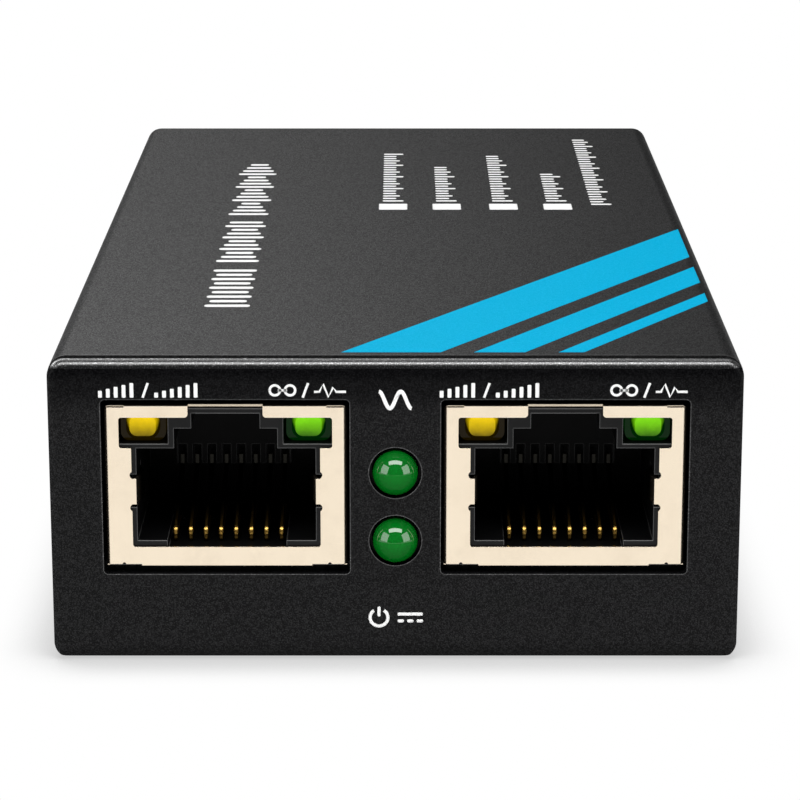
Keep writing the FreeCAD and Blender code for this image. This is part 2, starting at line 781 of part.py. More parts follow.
# ---------------------------------------------------------------- power inlet
def inlet_body():
    """Moulded body of the power inlet, with its barrel and a slot for the spring."""
    body = block(about(inlet_x, inlet_width), (inlet_front, inlet_back),
                 (board_top, board_top + inlet_height))
    body = body.makeFillet(module_edge, [edge for edge in edges_along(body, "y")
                                         if edge.BoundBox.ZMin > board_top + 1])
    bore = rod("y", inlet_bore, (inlet_x, inlet_z), (inlet_back - inlet_depth, inlet_back + 1))
    slot = block(about(inlet_x, inlet_spring_width + 2 * thread_gap),
                 (inlet_back - inlet_depth, inlet_back - inlet_spring_width),
                 (board_top + 2 * inlet_spring_thickness, inlet_z))
    tail = block(about(inlet_x, inlet_spring_width + 2 * thread_gap),
                 (inlet_back - inlet_depth, inlet_back - inlet_depth + 3 * inlet_spring_thickness),
                 (board_top - 1, inlet_z))
    pin_hole = rod("y", inlet_pin / 2 + thread_gap, (inlet_x, inlet_z),
                   (inlet_front, inlet_back - inlet_depth))
    return cut(body, [bore, slot, tail, pin_hole])


def inlet_centre_pin():
    """Round pin of the barrel, with a thin stem to the terminal at the back of the body."""
    floor = inlet_back - inlet_depth
    tip = floor + inlet_pin_length
    pin = rod("y", inlet_pin, (inlet_x, inlet_z), (floor, tip))
    pin = pin.makeChamfer(inlet_pin / 2, rim_edges(pin, "y", tip))
    stem = rod("y", inlet_pin / 2, (inlet_x, inlet_z), (inlet_front - inlet_spring_thickness, floor))
    terminal = block(about(inlet_x, inlet_spring_width), (inlet_front - inlet_spring_thickness, inlet_front),
                     (board_top + lead_end, inlet_z + inlet_pin))
    return fuse([pin, stem, terminal])


def inlet_spring():
    """Bowed spring that presses on the outside of the plug."""
    floor = inlet_back - inlet_depth
    row = floor + 1.5 * inlet_spring_thickness
    low = inlet_z - inlet_bore - 2 * inlet_spring_thickness
    high = inlet_z - inlet_bore + inlet_spring_thickness
    points = [(row, board_top + lead_end), (row, low), (floor + inlet_depth * 0.55, high),
              (inlet_back - inlet_spring_width - inlet_spring_thickness, low)]
    fold = 2 * inlet_spring_thickness
    return strip("x", points, [fold, 2 * fold], inlet_spring_thickness,
                 about(inlet_x, inlet_spring_width))


# ---------------------------------------------------------------- parts on the board
def gull_lead(reach, height, thickness):
    """Corners of a gull-wing lead's middle line, out from a chip's side to the board."""
    foot = thickness / 2
    return [(0, height), (reach * 0.35, height), (reach * 0.45, foot), (reach, foot)]


def rows_of_leads(centre, half, count, pitch, height, width, axis):
    """Leads on two opposite sides of a chip; `axis` is the direction along each row."""
    leads = []
    first = -(count - 1) / 2 * pitch
    path = gull_lead(gull_reach, height, gull_thickness)
    for side in (-1, 1):
        across = centre[1] if axis == "x" else centre[0]
        along = centre[0] if axis == "x" else centre[1]
        points = [(across + side * (half + out), board_top + up) for out, up in path]
        for i in range(count):
            span = about(along + first + i * pitch, width)
            leads.append(strip(axis, points, [0, 0], gull_thickness, span))
    return leads


def body_on_board(size, place, edge=0.0):
    """Chip body that hangs just above the board on its leads."""
    low = board_top + seat_gap
    body = block(about(place[0], size[0]), about(place[1], size[1]), (low, low + size[2]))
    if edge:
        body = body.makeChamfer(edge, rim_edges(body, "z", low + size[2]))
    return body


def seated(size, place, edge=0.0):
    """Part that stands flat on the board."""
    body = body_on_board(size, place, edge)
    body.translate(Vector(0, 0, -seat_gap))
    return body


def crystal_can():
    """Flat-sided can with round ends, on its flange."""
    width, length, height = crystal_size
    x, y = about(crystal_place[0], width), about(crystal_place[1], length)
    end = width / 2 - 1e-3
    flange = prism("z", rectangle(x, y, end), (board_top, board_top + seat_gap * 5))
    slim = 2 * seat_gap
    can = prism("z", rectangle((x[0] + slim, x[1] - slim), (y[0] + slim, y[1] - slim), end - slim),
                (board_top, board_top + height))
    return flange.fuse(can)


def capacitor_can(x, y):
    """Aluminium can above its base."""
    can = rod("z", capacitor_radius, (x, y), (board_top + capacitor_base,
                                              board_top + capacitor_base + capacitor_height))
    return can.makeChamfer(capacitor_base / 2,
                           rim_edges(can, "z", board_top + capacitor_base + capacitor_height))


def capacitor_foot(x, y):
    """Square base of a capacitor, with two cut corners."""
    half = capacitor_half
    clip = half / 3
    corners = [(x - half, y - half, 0), (x + half - clip, y - half, 0), (x + half, y - half + clip, 0),
               (x + half, y + half - clip, 0), (x + half - clip, y + half, 0), (x - half, y + half, 0)]
    return prism("z", corners, (board_top, board_top + capacitor_base))


def inductor():
    """Shielded power inductor with a round pot in a square body."""
    half = inductor_size[0] / 2
    body = seated(inductor_size, inductor_place)
    body = body.makeFillet(half / 3, edges_along(body, "z"))
    groove = rod("z", half * 0.8, inductor_place, (board_top + inductor_size[2] * 0.9, 2 * case_height))
    pot = rod("z", half * 0.7, inductor_place, (board_top, board_top + inductor_size[2]))
    return body.cut(groove).fuse(pot).removeSplitter()


def small_parts():
    """Chip resistors and capacitors beside the switch chip and in front of the regulator."""
    places = []
    for i in (-1, 0, 1):
        for side in (-1, 1):
            places.append((side * small_part_x, chip_place[1] + i * small_part_pitch))
        places.append((inlet_x + i * small_part_pitch, small_part_row))
    return [seated(small_part_size, place) for place in places]


def main_board():
    """Circuit board with a hole for each screw, leg and peg."""
    board = block((-board_half, board_half), (board_front, board_back), (board_low, board_top))
    through = (board_low - 1, board_top + 1)

    def window(x, y, wide, deep):
        """Plated window around one leg."""
        return block(about(x, wide + 2 * pin_hole_gap), about(y, deep + 2 * pin_hole_gap), through)

    tools = [rod("z", board_screw_radius + hole_gap, place, through) for place in seat_places]
    for x in jack_x.values():
        for off, row in contact_places():
            tools.append(window(x + off, jack_face + row, contact_width, contact_thickness))
        for side in (-1, 1):
            for off in about(side * jack_lamp_off, jack_lamp_lead_spacing):
                tools.append(window(x + off, jack_face + jack_lamp_lead_row, lamp_lead, lamp_lead))
            tail_x = x + side * (jack_width - jack_sheet) / 2
            tools.append(window(tail_x, jack_face + tail_from_face, jack_sheet, tail_width))
            tools.append(rod("z", peg_radius + peg_gap,
                             (x + side * peg_spacing / 2, jack_face + peg_from_face), through))
    flange_back = front_face + lamp_set_back + lamp_length + lamp_flange_length
    for run in lamp_lead_runs.values():
        for x in about(0, lamp_lead_spacing):
            tools.append(window(x, flange_back + run, lamp_lead_width, lamp_lead_width))
    for pin in module_pins():
        centre = pin.BoundBox.Center
        tools.append(window(centre.x, centre.y, module_pin_width, module_pin_width))
    for row in (inlet_front - inlet_spring_thickness / 2,
                inlet_back - inlet_depth + 1.5 * inlet_spring_thickness):
        tools.append(window(inlet_x, row, inlet_spring_width, inlet_spring_thickness))
    return cut(board, tools)


# ---------------------------------------------------------------- all nodes
def main():
    """Build every piece and write it."""
    os.makedirs("parts", exist_ok=True)
    save("chassis", chassis())
    save("top_cover", top_cover())
    save("cover_screws", *[cover_screw(side, along) for side in (-1, 1)
                           for along in (-cover_screw_along, cover_screw_along)])
    save("board_standoffs", *[standoff(x, y) for x, y in seat_places])
    save("board_screws", *[board_screw(x, y) for x, y in seat_places])
    save("main_board", main_board())
    for side in jack_x:
        write_jack(side)
    for name, height in lamp_heights.items():
        save(name + "_front_lamp", front_lamp(height))
    save("lamp_holder", lamp_holder())
    save("lamp_leads", *lamp_leads())
    save("fibre_module_case", module_case())
    save("fibre_module_pins", *module_pins())
    save("fibre_port_shell", port_shell())
    save("fibre_port_latch", port_latch())
    save("fibre_port_sleeve", port_sleeve())
    save("power_inlet_body", inlet_body())
    save("power_inlet_pin", inlet_centre_pin())
    save("power_inlet_spring", inlet_spring())
    transformer_leads = []
    for side, x in jack_x.items():
        place = (x, transformer_y)
        save(side + "_transformer", body_on_board(transformer_size, place, 2 * seat_gap))
        transformer_leads += rows_of_leads(place, transformer_size[1] / 2, transformer_lead_count,
                                           transformer_lead_pitch, transformer_size[2] / 3,
                                           transformer_lead_pitch / 3, "x")
    save("transformer_leads", *transformer_leads)
    save("switch_chip", body_on_board(chip_size, chip_place, seat_gap))
    chip_leads = []
    for axis in ("x", "y"):
        chip_leads += rows_of_leads(chip_place, chip_size[0] / 2, chip_lead_count, chip_lead_pitch,
                                    chip_size[2] / 2, chip_lead_pitch / 2.5, axis)
    save("switch_chip_leads", *chip_leads)
    save("crystal_can", crystal_can())
    save("capacitor_cans", *[capacitor_can(x, y) for x, y in capacitor_places])
    save("capacitor_feet", *[capacitor_foot(x, y) for x, y in capacitor_places])
    save("power_inductor", inductor())
    save("regulator_chip", seated(regulator_size, regulator_place, seat_gap))
    save("chip_resistors", *small_parts())


main()
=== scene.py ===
import logging
import math
from dataclasses import dataclass, field
from enum import Enum
from typing import Any, Optional, Sequence, Union

import bpy
import numpy as np
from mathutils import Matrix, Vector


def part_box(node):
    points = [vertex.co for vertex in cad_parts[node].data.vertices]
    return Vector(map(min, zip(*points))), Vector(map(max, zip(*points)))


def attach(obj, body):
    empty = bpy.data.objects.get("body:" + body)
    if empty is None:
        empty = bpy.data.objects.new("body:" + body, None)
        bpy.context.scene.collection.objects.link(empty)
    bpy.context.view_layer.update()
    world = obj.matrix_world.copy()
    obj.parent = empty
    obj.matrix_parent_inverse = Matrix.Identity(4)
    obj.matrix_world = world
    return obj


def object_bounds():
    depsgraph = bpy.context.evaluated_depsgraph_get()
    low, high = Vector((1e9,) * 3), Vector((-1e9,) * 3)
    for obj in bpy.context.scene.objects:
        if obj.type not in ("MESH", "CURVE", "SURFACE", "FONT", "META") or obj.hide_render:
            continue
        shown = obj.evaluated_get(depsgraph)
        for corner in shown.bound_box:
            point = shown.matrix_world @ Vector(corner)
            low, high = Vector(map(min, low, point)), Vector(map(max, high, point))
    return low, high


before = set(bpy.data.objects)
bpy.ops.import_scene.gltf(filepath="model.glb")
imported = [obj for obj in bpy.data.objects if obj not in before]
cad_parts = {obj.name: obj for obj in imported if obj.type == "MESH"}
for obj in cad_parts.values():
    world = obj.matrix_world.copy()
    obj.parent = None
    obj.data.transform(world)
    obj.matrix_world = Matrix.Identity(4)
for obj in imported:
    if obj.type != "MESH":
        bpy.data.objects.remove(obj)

LOG = logging.getLogger("media_converter")
MM = 0.001
CAD_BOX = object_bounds()
EDGE_RAYS = 6  # rays that look for an edge around a point
EDGE_GAIN = 5.0  # how soon a leaning normal counts as an edge
WELD = 1e-7  # points closer than this become one


# ---------------------------------------------------------------- shader maths
class Signal:
    """A value that varies over a surface. Operators on it add Math nodes."""

    def __init__(self, sheet: "NodeSheet", socket: bpy.types.NodeSocket) -> None:
        """Wrap one output socket.

        Args:
            sheet: the sheet whose tree holds the socket.
            socket: the output to read.
        """
        self.sheet = sheet
        self.socket = socket

    def _math(self, operation: str, first: Any, second: Any) -> "Signal":
        """Result of one Math node on two values or signals."""
        node = self.sheet.node("ShaderNodeMath", {"operation": operation}, {0: first, 1: second})
        return Signal(self.sheet, node.outputs[0])

    def __add__(self, other: Union["Signal", float]) -> "Signal":
        """Sum."""
        return self._math("ADD", self, other)

    __radd__ = __add__

    def __sub__(self, other: Union["Signal", float]) -> "Signal":
        """Difference."""
        return self._math("SUBTRACT", self, other)

    def __rsub__(self, other: Union["Signal", float]) -> "Signal":
        """Difference, with this signal taken away."""
        return self._math("SUBTRACT", other, self)

    def __mul__(self, other: Union["Signal", float]) -> "Signal":
        """Product."""
        return self._math("MULTIPLY", self, other)

    __rmul__ = __mul__

    def __truediv__(self, other: Union["Signal", float]) -> "Signal":
        """Quotient."""
        return self._math("DIVIDE", self, other)

    def above(self, edge: float) -> "Signal":
        """1 where the signal is over the edge, else 0."""
        return self._math("GREATER_THAN", self, edge)

    def clamped(self) -> "Signal":
        """The signal kept between 0 and 1."""
        return self._math("MAXIMUM", self._math("MINIMUM", self, 1.0), 0.0)

    def tilt(self, zero: float, slope: float) -> "Signal":
        """A straight line in the signal, 0 at one value of it."""
        return (self - zero) * slope

    def rise(self, start: float, slope: float) -> "Signal":
        """0 up to the start, then a climb to 1. A slope below 0 climbs towards lower values."""
        return self.tilt(start, slope).clamped()

    def ramp(self, none: float, full: float) -> "Signal":
        """0 at one value of the signal, 1 at another, and an even climb between the two."""
        return ((self - none) / (full - none)).clamped()

    def span(self, low: float, high: float) -> "Signal":
        """A number that runs from low to high as the signal runs from 0 to 1."""
        return self * (high - low) + low

    def mixed(self, other: "Signal", share: float) -> "Signal":
        """This signal with a share of another one in it."""
        return self * (1.0 - share) + other * share

    def outside(self, edge: float) -> "Signal":
        """How far the signal's size lies past an edge, 0 inside it."""
        past = self._math("ABSOLUTE", self, 0.0) - edge
        return self._math("MAXIMUM", past, 0.0)

    def wave(self, pitch: float) -> "Signal":
        """Sine of the signal, one turn for each pitch."""
        return self._math("SINE", self * (math.tau / pitch), 0.0)


class NodeSheet:
    """A node tree with one call that adds any node."""

    def __init__(self, tree: bpy.types.NodeTree) -> None:
        """Work in a tree.

        Args:
            tree: the tree to fill.
        """
        self.tree = tree

    def node(self, kind: str, settings: Optional[dict] = None,
             sockets: Optional[dict] = None) -> bpy.types.Node:
        """Add one node.

        Args:
            kind: the node's type.
            settings: attributes, set before the sockets.
            sockets: values or links by input name or number.

        Returns:
            The new node.
        """
        node = self.tree.nodes.new(kind)
        for name, value in (settings or {}).items():
            setattr(node, name, value)
        for name, value in (sockets or {}).items():
            target = node.inputs[name]
            if isinstance(value, Signal):
                self.tree.links.new(value.socket, target)
            elif isinstance(value, bpy.types.NodeSocket):
                self.tree.links.new(value, target)
            else:
                target.default_value = value
        return node

    def parts(self, way: bpy.types.NodeSocket) -> tuple:
        """The three parts of a vector, as signals."""
        split = self.node("ShaderNodeSeparateXYZ", {}, {0: way})
        return tuple(Signal(self, split.outputs[name]) for name in "XYZ")

    def rays(self, *kinds: str) -> tuple:
        """Signals that are 1 for rays of the named kinds."""
        path = self.node("ShaderNodeLightPath")
        return tuple(Signal(self, path.outputs[f"Is {kind} Ray"]) for kind in kinds)


def opaque(colour: Any) -> Any:
    """A colour with full alpha. A colour socket stays as it is."""
    return (*colour, 1.0) if isinstance(colour, tuple) else colour


def toned(colour: Sequence[float], factor: float, lift: float = 0.0) -> tuple:
    """A colour with each channel times a factor, plus a lift, and 1 at most."""
    return tuple(min(1.0, channel * factor + lift) for channel in colour)


class Shader(NodeSheet):
    """A material's node tree, with short calls for what the finishes need."""

    def __init__(self, name: str) -> None:
        """Make an empty material.

        Args:
            name: the material's name.
        """
        self.material = bpy.data.materials.new(name)
        self.material.use_nodes = True
        super().__init__(self.material.node_tree)
        self.tree.nodes.clear()
        self.place = self.node("ShaderNodeTexCoord").outputs["Object"]

    def noise(self, grain: float, detail: float = 2.0,
              stretch: Sequence[float] = (1, 1, 1)) -> Signal:
        """Soft noise in object space.

        Args:
            grain: size of one blotch, in metres.
            detail: octaves.
            stretch: factor on each axis, for drawn or brushed grain.

        Returns:
            A signal from 0 to 1.
        """
        mapped = self.node("ShaderNodeMapping", {}, {"Vector": self.place, "Scale": tuple(stretch)})
        noise = self.node("ShaderNodeTexNoise", {}, {"Vector": mapped.outputs[0],
                                                     "Scale": 1 / grain, "Detail": detail})
        return Signal(self, noise.outputs["Fac"])

    def cell_shade(self, grain: float) -> Signal:
        """One random value for each grain.

        Args:
            grain: size of one grain, in metres.

        Returns:
            A signal from 0 to 1, even over each grain.
        """
        cells = self.node("ShaderNodeTexVoronoi", {}, {"Vector": self.place, "Scale": 1 / grain})
        red = self.node("ShaderNodeSeparateColor", {}, {0: cells.outputs["Color"]})
        return Signal(self, red.outputs[0])

    def axis(self, name: str) -> Signal:
        """Object coordinate along one axis, in metres."""
        return self.parts(self.place)["XYZ".index(name)]

    def rounded(self, radius: float) -> bpy.types.NodeSocket:
        """Normal of the surface as if its edges were rounded by a radius, in metres."""
        return self.node("ShaderNodeBevel", {"samples": EDGE_RAYS}, {"Radius": radius}).outputs[0]

    def edges(self, radius: float) -> Signal:
        """1 on the rounding of an edge, 0 on flat ground.

        Args:
            radius: radius that the edge is rounded by, in metres.

        Returns:
            How far the rounded normal leans from the surface's own.
        """
        own = self.node("ShaderNodeNewGeometry").outputs["Normal"]
        lean = self.node("ShaderNodeVectorMath", {"operation": "DOT_PRODUCT"},
                         {0: self.rounded(radius), 1: own})
        return ((1.0 - Signal(self, lean.outputs["Value"])) * EDGE_GAIN).clamped()

    def ledges(self, radius: float) -> Signal:
        """1 along the rounding of an edge that leans upwards, 0 on flat ground.

        Args:
            radius: radius that the edge is rounded by, in metres.

        Returns:
            Four times the product of how far the rounded normal points up and how far it doesn't.
        """
        upward = self.parts(self.rounded(radius))[2].clamped()
        return (upward * (1.0 - upward) * 4.0).clamped()

    def grey(self, signal: Signal) -> bpy.types.NodeSocket:
        """Grey colour of a signal's value."""
        return self.node("ShaderNodeCombineColor", {}, {0: signal, 1: signal, 2: signal}).outputs[0]

    def blend(self, first: Any, second: Any, amount: Signal) -> bpy.types.NodeSocket:
        """Mix two colours.

        Args:
            first: colour, or a colour output, where the amount is 0.
            second: colour, or a colour output, where the amount is 1.
            amount: signal from 0 to 1.

        Returns:
            The mixed colour's socket.
        """
        mix = self.node("ShaderNodeMix", {"data_type": "RGBA"},
                        {"Factor": amount, 6: opaque(first), 7: opaque(second)})
        return mix.outputs[2]

    def bump(self, height: Signal, depth: float, rim: float = 0.0) -> bpy.types.NodeSocket:
        """Normal bent by a height signal.

        Args:
            height: signal from 0 to 1.
            depth: height of a full step, in metres.
            rim: radius that edges are shaded with, in metres.

        Returns:
            The bent normal's socket.
        """
        sockets = {"Height": height, "Distance": depth}
        if rim:
            sockets["Normal"] = self.rounded(rim)
        return self.node("ShaderNodeBump", {}, sockets).outputs[0]

    def finish(self, colour: Any, roughness: Any, normal: bpy.types.NodeSocket,
               **others: Any) -> bpy.types.Material:
        """Close the tree with one Principled surface.

        Args:
            colour: base colour, or a colour socket.
            roughness: number or signal.
            normal: bent normal's socket.
            others: other sockets of the surface, with spaces written as underscores.

        Returns:
            The finished material.
        """
        sockets = {"Base Color": opaque(colour), "Roughness": roughness, "Normal": normal}
        for name, value in others.items():
            sockets[name.replace("_", " ")] = value
        surface = self.node("ShaderNodeBsdfPrincipled", {}, sockets)
        self.node("ShaderNodeOutputMaterial", {}, {"Surface": surface.outputs[0]})
        return self.material


# ---------------------------------------------------------------- finishes
# Each finish is a frozen dataclass whose build() returns its material. A pair named for a
# climb holds where a noise starts to count and how steeply it does. Other pairs run from
# low to high, or from the place where an effect ends to the place where it is full.
@dataclass(frozen=True)
class FrontEdge:
    """What sets the chassis coat apart along the front: dull strips, a bright bend, and a painted
    highlight along the upward edges under the openings.

    Places are counted inwards from the front face, or down from the top of the chassis.
    """

    depth: float = 0.6 * MM
    face: tuple = (0.24 * MM, 0.06 * MM)
    strips: tuple = (((3.60 * MM, 2.22 * MM), 0.58), ((1.56 * MM, 0.84 * MM), 0.34))
    bend_inward: tuple = (0.72 * MM, 0.42 * MM)
    bend_down: tuple = (0.564 * MM, 0.294 * MM)
    bend_shine: tuple = (0.42, 1.82)
    ledge_highlight_tone: tuple = (0.16, 0.16, 0.16)
    ledge_highlight_width: float = 1.3
    sill: float = 1.0 * MM

    def strips_shine(self, shader: Shader, shine: Signal, specks: Signal) -> Signal:
        """Make the coat dull just under the front's top edge and bright on that edge.

        Args:
            shader: the material's tree.
            shine: shine of the plain coat.
            specks: 1 on the highest grains, 0 elsewhere.

        Returns:
            The shine with both strips and the bend.
        """
        low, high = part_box("chassis")
        inward = shader.axis("Y") - low[1]
        down = high[2] - shader.axis("Z")
        dull = sum(down.ramp(*place) * share for place, share in self.strips)
        bend = inward.ramp(*self.bend_inward) * down.ramp(*self.bend_down)
        return shine * (1.0 - dull * inward.ramp(*self.face)) + bend * specks.span(*self.bend_shine)

    def ledge_highlight(self, shader: Shader, colour: bpy.types.NodeSocket,
                    rim: float) -> bpy.types.NodeSocket:
        """Painted highlight: a pale line along the upward edge of the coat under each opening of
        the front, where the rounded edge would catch the light from above.

        Args:
            shader: the material's tree.
            colour: colour of the plain coat.
            rim: radius that the coat's edges are shaded with.

        Returns:
            The colour with the painted highlight lines.
        """
        below = 1.0 - shader.axis("Z").above(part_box("left_jack_shield")[0][2] + self.sill)
        inward = (shader.axis("Y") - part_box("chassis")[0][1]).above(self.depth)
        # painted highlight: pale colour on the upward-leaning rounding near the front face, below
        # the jacks' sill
        worn = shader.ledges(rim * self.ledge_highlight_width) * below * (1.0 - inward)
        return shader.blend(colour, self.ledge_highlight_tone, worn)


@dataclass(frozen=True)
class PowderCoat:
    """Fine sand-textured powder coat, also as it shows through thin print on it."""

    name: str
    colour: tuple = (0.0016, 0.0016, 0.0018)
    lifted: float = 3.6
    lift: float = 0.001
    grain: float = 0.19 * MM
    patch: float = 9 * MM
    patch_share: float = 0.1
    raised_climb: tuple = (0.42, 6.0)
    peak_climb: tuple = (0.56, 9.0)
    relief: float = 0.10 * MM
    under: tuple = (0.5, 0.7)
    roughness: float = 0.30
    shine: float = 0.14
    ground_shine: float = 0.55
    rim: float = 0.14 * MM
    rim_shine: float = 2.0
    rim_specks: tuple = (0.4, 1.0)
    gloss_index: float = 1.9
    front: Optional[FrontEdge] = None

    def build(self) -> bpy.types.Material:
        """Let grains of two sizes bend the surface, lighten its colour on raised grains and specks,
        partly as the coat's own grain and partly as painted glints, and break up its shine.

        Returns:
            The coat's material.
        """
        shader = Shader(self.name)
        coarse, fine = (shader.noise(grain, 1.0) for grain in (self.grain, self.grain / 2))
        grains = coarse.mixed(fine, 0.5)
        specks = fine.rise(*self.peak_climb)
        # raised grains and specks get a lighter colour: partly the coat's own grain tone, partly
        # painted glints
        lit = grains.rise(*self.raised_climb).mixed(specks, 0.5)
        patches = shader.noise(self.patch) * self.patch_share
        colour = shader.blend(self.colour, toned(self.colour, self.lifted, self.lift),
                              (lit + patches).clamped())
        shine = (lit + self.ground_shine) * self.shine
        shine = shine + shader.edges(self.rim) * specks.span(*self.rim_specks) * self.rim_shine
        if self.front:
            shine = self.front.strips_shine(shader, shine, specks)
            # painted highlight along the upward edges under the front's openings
            colour = self.front.ledge_highlight(shader, colour, self.rim)
        return shader.finish(colour, grains.span(*self.under),
                             shader.bump(grains, self.relief, self.rim), Specular_IOR_Level=0.0,
                             Coat_Weight=shine.clamped(), Coat_Roughness=self.roughness,
                             Coat_IOR=self.gloss_index)


@dataclass(frozen=True)
class PlatedSheet:
    """Nickel or tin plate with faint rolling lines and soft stains."""

    name: str
    colour: tuple = (0.96, 0.83, 0.65)
    dull: tuple = (0.89, 0.76, 0.59)
    roughness: tuple = (0.20, 0.30)
    rolling: tuple = (0.25, 1.0, 1.0)
    line: float = 0.12 * MM
    stain: float = 2.4 * MM
    stain_climb: tuple = (0.45, 2.2)
    stain_share: float = 0.4
    speck: float = 0.3 * MM
    speck_climb: tuple = (0.5, 0.4)
    relief: float = 0.003 * MM
    rim: float = 0.04 * MM
    inside: Optional[tuple] = None
    # tone of the painted shade deep inside a jack
    deep: tuple = (0.03, 0.03, 0.024)

    def build(self) -> bpy.types.Material:
        """Stretch noise into rolling lines, stain the plate, and darken it behind the face as
        painted shade inside the jack.

        Returns:
            The plate's material.
        """
        shader = Shader(self.name)
        lines = shader.noise(self.line, 2.0, self.rolling)
        stains = shader.noise(self.stain, 3.0)
        specks = shader.noise(self.speck)
        worn = (stains.tilt(*self.stain_climb) + specks.tilt(*self.speck_climb)).clamped()
        rough = lines.mixed(stains, self.stain_share).clamped().span(*self.roughness)
        colour = shader.blend(self.colour, self.dull, worn)
        # painted shade: the plate darkens towards the deep tone further behind the jack's face
        if self.inside:
            colour = shader.blend(colour, self.deep, shader.axis("Y").ramp(*self.inside))
        return shader.finish(colour, rough, shader.bump(lines, self.relief, self.rim), Metallic=1.0)


@dataclass(frozen=True)
class Moulding:
    """Moulded plastic with a fine spark-eroded texture and soft flow marks.

    Behind the second depth of the mouth the skin's gloss and the painted highlight on its
    upward edges fade out, which stands in for the shade deep in the jack.
    """

    name: str
    colour: tuple = (0.0022, 0.0022, 0.0024)
    roughness: tuple = (0.30, 0.42)
    grain: float = 0.09 * MM
    grain_share: float = 0.4
    flow: float = 3.0 * MM
    flow_stretch: tuple = (1.0, 0.35, 1.0)
    flow_tone: tuple = (1.35, 0.0005)
    relief: float = 0.004 * MM
    gloss: float = 0.16
    rim: float = 0.10 * MM
    mouth: Optional[tuple] = None
    mouth_fade: tuple = (0.15, 1.0)
    mouth_ledge_highlight: tuple = (0.12, 0.12, 0.118)
    mouth_gloss: float = 0.02
    skin_gloss: tuple = (0.48, 0.84)
    skin_index: float = 2.2

    def build(self) -> bpy.types.Material:
        """Put fine grain in the bump and wide flow marks in the colour and roughness.

        Returns:
            The moulding's material.
        """
        shader = Shader(self.name)
        grains = shader.noise(self.grain)
        flow = shader.noise(self.flow, 3.0, self.flow_stretch)
        rough = flow.mixed(grains, self.grain_share).clamped().span(*self.roughness)
        colour = shader.blend(self.colour, toned(self.colour, *self.flow_tone), flow)
        sockets = {"Specular_IOR_Level": self.gloss}
        if self.mouth:
            near, far = self.mouth
            toward_mouth = shader.axis("Y").ramp(far, near).span(*self.mouth_fade)
            skin = flow.span(*self.skin_gloss) * self.gloss + shader.edges(self.rim)
            # painted highlight: a pale line on the upward-leaning edges in the jack's mouth, fading
            # with depth
            colour = shader.blend(colour, self.mouth_ledge_highlight, toward_mouth * shader.ledges(self.rim))
            sockets = {"Specular_IOR_Level": self.mouth_gloss, "Coat_Roughness": self.roughness[0],
                       "Coat_IOR": self.skin_index, "Coat_Weight": (toward_mouth * skin).clamped()}
        return shader.finish(colour, rough, shader.bump(grains, self.relief, self.rim), **sockets)


@dataclass(frozen=True)
class GoldWire:
    """Gold-flashed wire, drawn lengthwise, a little darker where the flash is thin."""

    name: str = "gold_flash"
    colour: tuple = (0.85, 0.52, 0.12)
    thin: tuple = (0.60, 0.33, 0.07)
    thin_climb: tuple = (0.5, 2.4)
    # colour of the unplated leg, nearly black as painted shade inside the jack
    shaded_bare_leg: tuple = (0.020, 0.019, 0.016)
    # painted shade on the sides of each wire
    flank_shade: tuple = (0.06, 0.036, 0.009)
    roughness: tuple = (0.26, 0.34)
    line: float = 0.08 * MM
    drawn: tuple = (1.0, 0.12, 0.12)
    spot: float = 0.5 * MM
    rim: float = 0.10 * MM
    middle: float = 11.25 * MM
    pitch: float = 1.02 * MM
    crest: tuple = (0.78, 0.92)
    gilt_top: float = 0.0
    gilt_fade: float = 1.2 * MM

    def build(self) -> bpy.types.Material:
        """Gild the middle of each wire, with thin spots in it, and leave its leg above bare.

        The middle of each wire is where a wave along the row, one turn for each wire, crests.

        Returns:
            The wire's material.
        """
        shader = Shader(self.name)
        lines = shader.noise(self.line, 1.0, self.drawn)
        spots = shader.noise(self.spot, 3.0)
        gold = shader.blend(self.colour, self.thin, spots.rise(*self.thin_climb))
        # painted shade: each wire darkens towards its sides, so only its rounded middle shows gold
        from_row = shader.axis("X").outside(0.0) - (self.middle + self.pitch / 4)
        gold = shader.blend(self.flank_shade, gold, from_row.wave(self.pitch).ramp(*self.crest))
        # the leg above the gilt is unplated metal, painted almost black as shade inside the jack
        above = shader.axis("Z").ramp(self.gilt_top, self.gilt_top + self.gilt_fade)
        return shader.finish(shader.blend(gold, self.shaded_bare_leg, above), lines.span(*self.roughness),
                             shader.bump(spots, 0.0, self.rim), Metallic=1.0)


